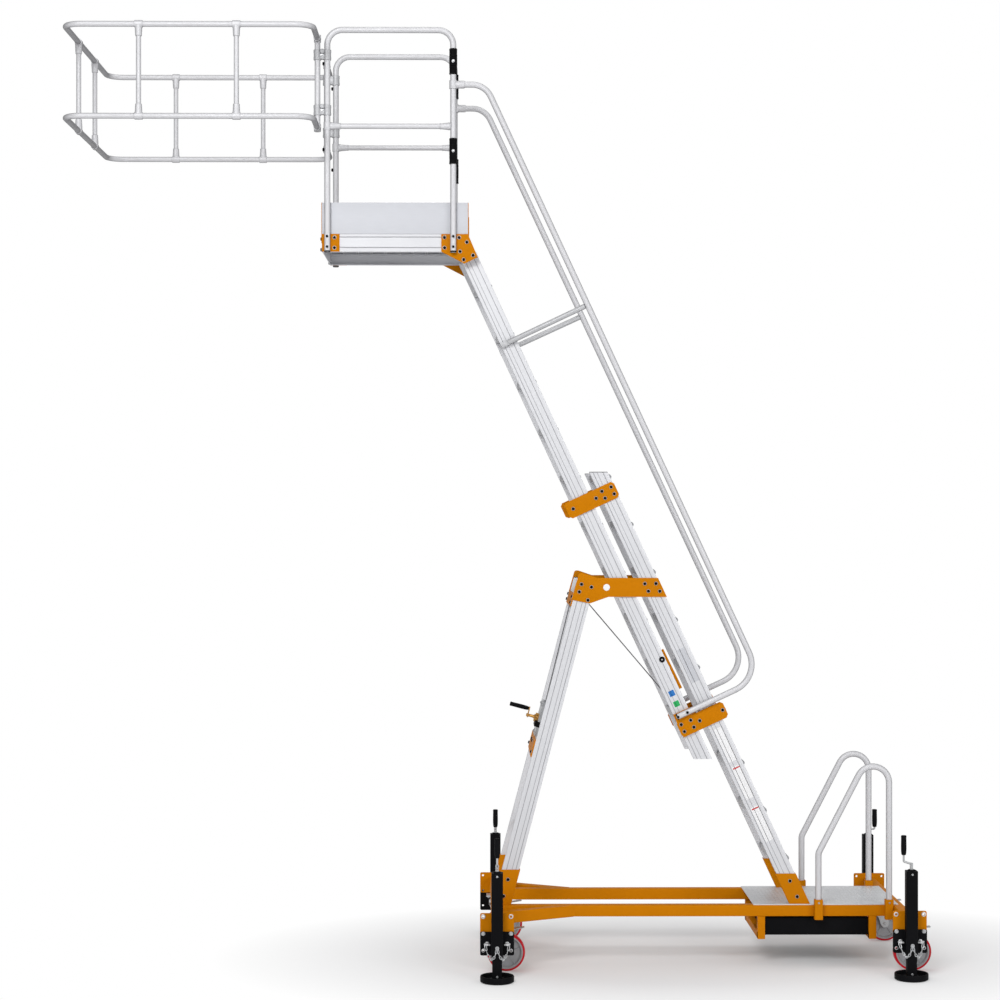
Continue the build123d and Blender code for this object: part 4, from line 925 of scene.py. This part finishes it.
def make_couplers():
    """The clamps that join the cage's end posts to the platform's front posts."""
    couplers = Shape()
    clamp = even([(16.2, -27), (20, -27), (21, -25.5), (21, -12), (20, -10.5)])
    for z in (CAGE_LOW + 94.0, CAGE_TOP - 86.0):
        for side in (-1, 1):
            y = side * POST_Y
            for x in (CAGE_BACK, FRONT_POST):
                couplers.lathe(clamp, (x, y, z), UP, 32, True)
            couplers.bar((CAGE_BACK + 14, y, z), (FRONT_POST - 14, y, z), 26, 48, UP, 4.0)
            bolt("mast", ((CAGE_BACK + FRONT_POST) / 2, y + side * 13, z), Y * side, 6.0, "bright")
            couplers.lathe(cap((10, 0), (13, 3), (13.5, 9), (11, 14), (5, 16)),
                           (CAGE_BACK + 26, y + side * 12, z + 17), Y * side, 20)
    shape_of("cage_couplers", "fitting", couplers)


def make_hinges():
    """Black sleeves with springs above and below each hinge's knuckle."""
    hinges, coils = Shape(), Shape()
    half, apart, turns, steps = 21.92, 46.58, 4, 64
    sleeve = even([(16.1, -half), (20, -half), (21.5, 2 - half), (21.5, 9 - half), (20.4, 11 - half)])
    circle = ring_points(20.0, steps // turns)
    for z in HINGE_Z:
        for y in (-POST_Y, POST_Y):
            for mid in (z - apart, z + apart):
                hinges.lathe(sleeve, (REAR_POST, y, mid), UP, 32, True)
                coils.tube([(REAR_POST + a, y + b, mid + (half - 11) * (2 * k / steps - 1))
                            for k, (a, b) in enumerate(circle * turns + circle[:1])], 1.5, 8)
    shape_of("gate_hinges", "plastic", hinges)
    coils.make("hinge_springs", "black", "mast", "black_plastic")


def make_gates():
    for node, side in (("gate_leaf_left", -1), ("gate_leaf_right", 1)):
        leaf = Shape()
        low, high = HINGE_Z
        y0, y1 = side * (POST_Y - 20), side * (POST_Y - 318)
        path = [(REAR_POST, y0, high), (REAR_POST, y1, high), (REAR_POST, y1, low), (REAR_POST, y0, low)]
        leaf.tube(rounded(path, (70, 70), 12), 12.5, 22)
        for z in HINGE_Z:
            leaf.lathe(collar(16.1, 20, 21.4, 24.3, 1.8), (REAR_POST, side * POST_Y, z), UP, 32, True)
            leaf.lathe(cap((16, 0), (16, 10), (14, 12)), (REAR_POST, side * (POST_Y - 17), z), Y * -side, 24)
            bolt(NODE_BODY[node], (REAR_POST, side * (POST_Y + 21), z), Y * side, 6.5, "bright")
        shape_of(node, "plastic", leaf)


def make_stair_rails():
    low_y, top, end_u = CARRIAGE_OUT + 16.3, 4702.0, 1194.0
    line_v, end_v = 462.8 - MAST_OFFSET, 14 - MAST_OFFSET - STILE_DEPTH / 2
    a, b = on_ladder(end_u, line_v, -low_y), on_ladder(end_u, end_v, -low_y)
    post = (REAR_POST, -POST_Y, top)
    knee = (ladder_x(top, line_v), -POST_Y, top)
    rail = Shape().tube(rounded([(REAR_POST + 15, -POST_Y, top), knee, a, b], (110, 150)), 16, 28)
    rail.lathe(cap((19, 12), (20.5, 16), (20.5, 54), (19.5, 60), (17, 62)), post, X)
    rail.lathe(collar(16.1, 20, 21, 23), post, UP, 28, True)
    shape_of("stair_handrails", "tube", rail.mirrored())
    for p in (on_ladder(end_u, -170.0), on_ladder(end_u, -114.0)):
        both_bolts("mast", p.x, low_y + 15.6, p.z, 7.0)
    plugs = Shape().lathe(cap((16.6, -4), (16.8, 1), (15, 3)), b, b - a, 24)
    plugs.mirrored().make("handrail_plugs", "plastic", "mast", "black_plastic")
    softened("fitting", 0.8, "handrail_arms")


# Winch and wire

WINCH_Z, LUG_R = 1300.0, 17.0
DRUM_DROP, DRUM_TRACK, WIRE_TRACK, WIRE_R = -42.0, 29.1, 37.1, 3.0


def at_strut(along, out, y=0.0):
    """A point along the strut from the winch's middle and out of the strut's front face."""
    return Vector((strut_x(WINCH_Z, -STILE_DEPTH / 2) + along * cos(STRUT_LEAN) - out * sin(STRUT_LEAN), y,
                   WINCH_Z + along * sin(STRUT_LEAN) + out * cos(STRUT_LEAN)))


def make_winch(grips):
    """The winch on the strut. Its grip goes into the shape given."""
    along, out = at_strut(1, 0) - at_strut(0, 0), at_strut(0, 1) - at_strut(0, 0)
    body, carriers, black, gold = (Shape() for _ in range(4))

    def slab(shape, width, length, r, at, depth, chamfer=0.8):
        shape.plate(round_rect(width, length, r), at, along, Y, depth, chamfer)

    slab(carriers, 96, 554, 4, at_strut(-145, 0), 6.0)
    slab(carriers, 70, 554, 4, at_strut(679, 0), 6.0)
    slab(body, 194, 180, 6, at_strut(0, 0), 6.0)
    cheek = [(-97, -3), (-86, 0), (86, 0), (97, -3), (97, -62), (60, -84), (-60, -84), (-97, -62)]
    for y in (-84.0, 90.0):
        body.plate(cheek, at_strut(0, 0, y), along, out, 6.0, 0.8, [(70, -30, 6), (-70, -30, 6)])
    body.lathe(even([(0, -90), (26, -90), (26, -84), (8, -84), (8, -78), (39, -78), (39, -72), (26, -72)]),
               at_strut(0, DRUM_DROP), Y, 40)
    gold.lathe(cap((15, 4), (15, 9), (12, 11), (12, 22), (15, 24), (15, 29), (9, 31), (9, 36), (8, 38),
                   (8, 62)), at_strut(0, 0), out)
    slab(gold, 20, 40, 4, at_strut(-14, 6), 22.0, 1.5)
    slab(gold, 14, 20, 3, at_strut(16, 6), 18.0, 1.2)
    gold.plate(round_rect(60, 18, 8.9, 6), at_strut(17, 62), along, Y, 6.0)
    gold.lathe(cap((9, 6), (9, 11), (7, 13)), at_strut(0, 61), out, 6)
    gold.lathe(cap((5, 0), (5, 40)), at_strut(36, 67), out, 16)
    slab(black, 31, 26, 4, at_strut(-30, -14, -80), 24.0, 1.5)
    slab(black, 31, 150, 4, at_strut(-30, 6), 14.0, 1.5)
    for a, y in ((-166, 250), (-124, 60), (664, 250), (694, 250)):
        for side in (-1, 1):
            bolt("base", at_strut(a, 6, side * y), out, 8.0)
    for a, y in ((-80, -74), (-80, 74), (80, -74), (80, 74)):
        bolt("base", at_strut(a, 6, y), out, 7.0, "bright")
    shape_of("winch", "zinc", body)
    carriers.make("winch_plate", "orange", "base", "orange_paint")
    black.make("winch_brake", "black", "base", "black_paint")
    gold.make("winch_arm", "gold", "base", "zinc_steel")
    grips.lathe([(r, h * 1.05) for r, h in GRIP], at_strut(36, 68), out)


def make_pulley():
    low, high = local_box("head_pulley")
    pulley, reach = (low + high) / 2, high.y
    wheel = Shape().lathe(even([(8.1, -11), (13, -11), (14, -6), (30, -5), (33, -10), (39, -11), (40, -9)],
                               (34.5, 0)), pulley, Y, 48, True)
    axle = even([(0, -reach), (8, -reach), (8, -15), (12, -15), (12, -11.5), (8, -11.5)])
    wheel.lathe(axle, pulley, Y, 24)
    shape_of("head_pulley", "zinc", wheel)
    softened("paper", 0.4, "head_plugs")


def lug_eye():
    """The middle of the eye at the top of the hoist lug."""
    low, high = local_box("hoist_lug")
    return Vector(((low.x + high.x) / 2, 0, high.z - LUG_R))


def make_lug():
    low, high = local_box("hoist_lug")
    eye, lug = lug_eye(), Shape()
    drop = low.z - eye.z
    outline = [(-LUG_R, drop), (LUG_R, drop), *ring_points(LUG_R, 24)[:13]]
    for y in (low.y + 4, high.y):
        lug.plate(outline, (eye.x, y, eye.z), X, UP, 4.0, 0.6, [(0, 0, 5)])
    lug.lathe(cap((4.9, low.y), (4.9, high.y)), eye, Y, 20)
    shape_of("hoist_lug", "zinc", lug)


def touch(point, centre, side):
    """Bearing at which a straight wire from a point meets the pulley's track, on the side given."""
    away = point - centre
    return atan2(away.z, away.x) + side * acos(WIRE_TRACK / away.length)


def make_wire():
    """The run from the pulley to the lug, which rides on no body, and the fall to the drum, which rides on
    the base.
    """
    low, high = local_box("head_pulley")
    lug, pulley, drum = lug_eye(), (low + high) / 2, at_strut(0, DRUM_DROP + DRUM_TRACK)
    pulley.y = 0
    bearing = lambda t: Vector((cos(t), 0, sin(t)))
    first, last = touch(drum, pulley, -1) % tau, touch(lug, pulley, 1)
    top = pulley + bearing(last) * WIRE_TRACK
    run = Shape().tube([top.lerp(lug, k / 12) for k in range(13)], WIRE_R, 10)
    obj = run.make("hoist_wire_run", "wire", None, "wire_steel", ("hoist_wire",))
    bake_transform(obj)
    arc = [pulley + bearing(first + (last - first) * k / 16) * WIRE_TRACK for k in range(17)]
    fall = Shape().tube([drum, *arc], WIRE_R, 10)
    for y in range(-24, 25, 6):
        centre = at_strut(0, DRUM_DROP, y)
        fall.tube([centre + bearing(tau * i / 28) * DRUM_TRACK for i in range(29)], WIRE_R, 8)
    fall.make("hoist_wire_fall", "wire", "base", "wire_steel")


# Small plates and labels, which carry no print

LABELS = (
    # name, first and last place up the ladder, first and last across it, outer face, look, body
    ("label_high", 850, 1045, -24, 24, STILE_OUT - 1.0, "paper", "base"),
    ("label_mid", 630, 820, -24, 24, STILE_OUT - 1.0, "paper", "base"),
    ("label_low", 380, 580, -24, 24, STILE_OUT - 1.0, "paper", "base"),
    ("label_mid_line", 806, 813, -20, 20, STILE_OUT - 0.5, "red_line", "base"),
    ("label_low_line", 566, 573, -20, 20, STILE_OUT - 0.5, "red_line", "base"),
    ("label_plate", 1320, 1515, -22, 18, STILE_OUT - 1.0, "sheet", "base"),
    ("plate_blue", 1301, 1333, -160, -129, MAST_OUT - 1.0, "blue", "mast"),
    ("plate_green", 1240, 1271, -160, -129, MAST_OUT - 1.0, "green", "mast"),
)
LABEL_THICK = 0.5


def make_labels():
    across = Vector((sin(LEAN), 0, cos(LEAN)))
    up = Vector((-cos(LEAN), 0, sin(LEAN)))
    for name, u0, u1, v0, v1, face, look, body in LABELS:
        shape = Shape()
        middle = on_ladder((u0 + u1) / 2, (v0 + v1) / 2, -face - LABEL_THICK / 2)
        start = middle - up.cross(across) * LABEL_THICK / 2
        shape.plate(round_rect(u1 - u0, v1 - v0, 3.0), start, up, across, LABEL_THICK, LABEL_THICK * 0.3)
        shape.make(name, look, body, "pale_sheet")
    ring = Shape().lathe([(4, 0), (16, 0), (16, 2), (14, 4), (5, 4), (4, 2.5)],
                         on_ladder(1503.6, -115.3, 1 - MAST_OUT), -Y, 32, True)
    ring.make("latch_ring", "plastic", "mast", "black_plastic")
    latch = Shape().bar(on_ladder(1317, -90, -230), on_ladder(1549, -94, -230), 8, 22, across, 3.0)
    latch.make("latch_strip", "orange", "mast", "orange_paint")


# Floor, light and camera

FADE_REACH, FADE_START, FADE_END = 1.5, 0.75, 1.75
AMBIENT, GLOSSY_SHARE, NEAR_SHARE = 0.42, 0.25, 0.12
WHITE, FLOOR_TONE = (1.0, 1.0, 1.0, 1.0), (0.86, 0.86, 0.87, 1.0)


def make_stage():
    """A pale floor that turns into plain white away from the machine."""
    bpy.ops.mesh.primitive_plane_add(size=60.0, location=(0, 0, -0.001))
    floor = bpy.context.active_object
    floor.name = "studio_floor"
    mat = bpy.data.materials.new("studio_floor")
    mat.use_nodes = True
    tree = mat.node_tree
    matt = feed(tree.nodes["Principled BSDF"], {"Base Color": FLOOR_TONE, "Roughness": 0.9,
                                                "Specular IOR Level": 0.1})["BSDF"]
    glow = add_node(tree, "Emission", {"Color": WHITE})["Emission"]
    middle = -(FRONT_AXIS + REAR_BEAM / 2) * MM
    spot = add_node(tree, "Mapping", {"Vector": tree.nodes.new("ShaderNodeNewGeometry").outputs["Position"],
                                      "Location": (middle / FADE_REACH, 0.0, 0.0),
                                      "Scale": (1 / FADE_REACH, 1.0, 0.0)})["Vector"]
    far = add_node(tree, "VectorMath", {0: spot}, operation="LENGTH")["Value"]
    path = tree.nodes.new("ShaderNodeLightPath").outputs
    seen = maths(tree, "MAXIMUM", path["Is Camera Ray"], path["Is Glossy Ray"])
    share = maths(tree, "MULTIPLY", seen, span(tree, far, NEAR_SHARE, 1.0, FADE_START, FADE_END))
    mix = add_node(tree, "MixShader", {0: share, 1: matt, 2: glow})["Shader"]
    feed(tree.nodes["Material Output"], {"Surface": mix})
    floor.data.materials.append(mat)


LIGHTS = (
    # name, place, target, size, power
    ("key", (-2.5, -9.0, 7.5), (0.0, 0.0, 1.9), 4.0, 500.0),
    ("fill", (5.5, -7.0, 3.5), (0.0, 0.0, 1.5), 4.0, 170.0),
    ("top", (0.5, 1.0, 10.0), (0.0, 0.0, 0.0), 5.0, 150.0),
)


def make_light():
    """A dim even world that looks white to the camera, and three soft lamps."""
    world = bpy.data.worlds.new("studio")
    bpy.context.scene.world = world
    world.use_nodes = True
    tree = world.node_tree
    path = tree.nodes.new("ShaderNodeLightPath").outputs
    seen = maths(tree, "MULTIPLY_ADD", path["Is Glossy Ray"], GLOSSY_SHARE, path["Is Camera Ray"])
    feed(tree.nodes["Background"], {"Color": WHITE, "Strength": span(tree, seen, AMBIENT, 1.0, 0.0, 1.0)})
    for name, spot, target, size, power in LIGHTS:
        data = bpy.data.lights.new(name, "AREA")
        data.shape, data.size, data.energy = "DISK", size, power
        lamp = bpy.data.objects.new(name, data)
        bpy.context.scene.collection.objects.link(lamp)
        lamp.location = spot
        lamp.rotation_euler = (Vector(target) - Vector(spot)).to_track_quat("-Z", "Y").to_euler()


def make_camera():
    data = bpy.data.cameras.new("camera")
    data.lens, data.sensor_width, data.shift_y = 80.0, 36.0, 0.0143
    camera = bpy.data.objects.new("camera", data)
    bpy.context.scene.collection.objects.link(camera)
    camera.location = (-0.1057, -12.177, 2.4156)
    camera.rotation_euler = (radians(90.0), 0.0, radians(-0.49246))
    bpy.context.scene.camera = camera
    bpy.context.scene.view_settings.view_transform = "Standard"


crank_forks, crank_grips = Shape(), Shape()
make_base()
make_beads()
make_jacks(crank_forks, crank_grips)
make_castors()
make_step_deck()
make_ballast()
make_entry_handrails()
make_stiles()
make_treads()
make_brackets()
make_platform()
make_guard_rails()
make_cage()
make_hinges()
make_gates()
make_stair_rails()
make_winch(crank_grips)
make_pulley()
make_lug()
shape_of("cranks", "zinc", crank_forks)
shape_of("crank_grips", "plastic", crank_grips)
make_wire()
make_labels()
make_bolts()
make_stage()
make_light()
make_camera()
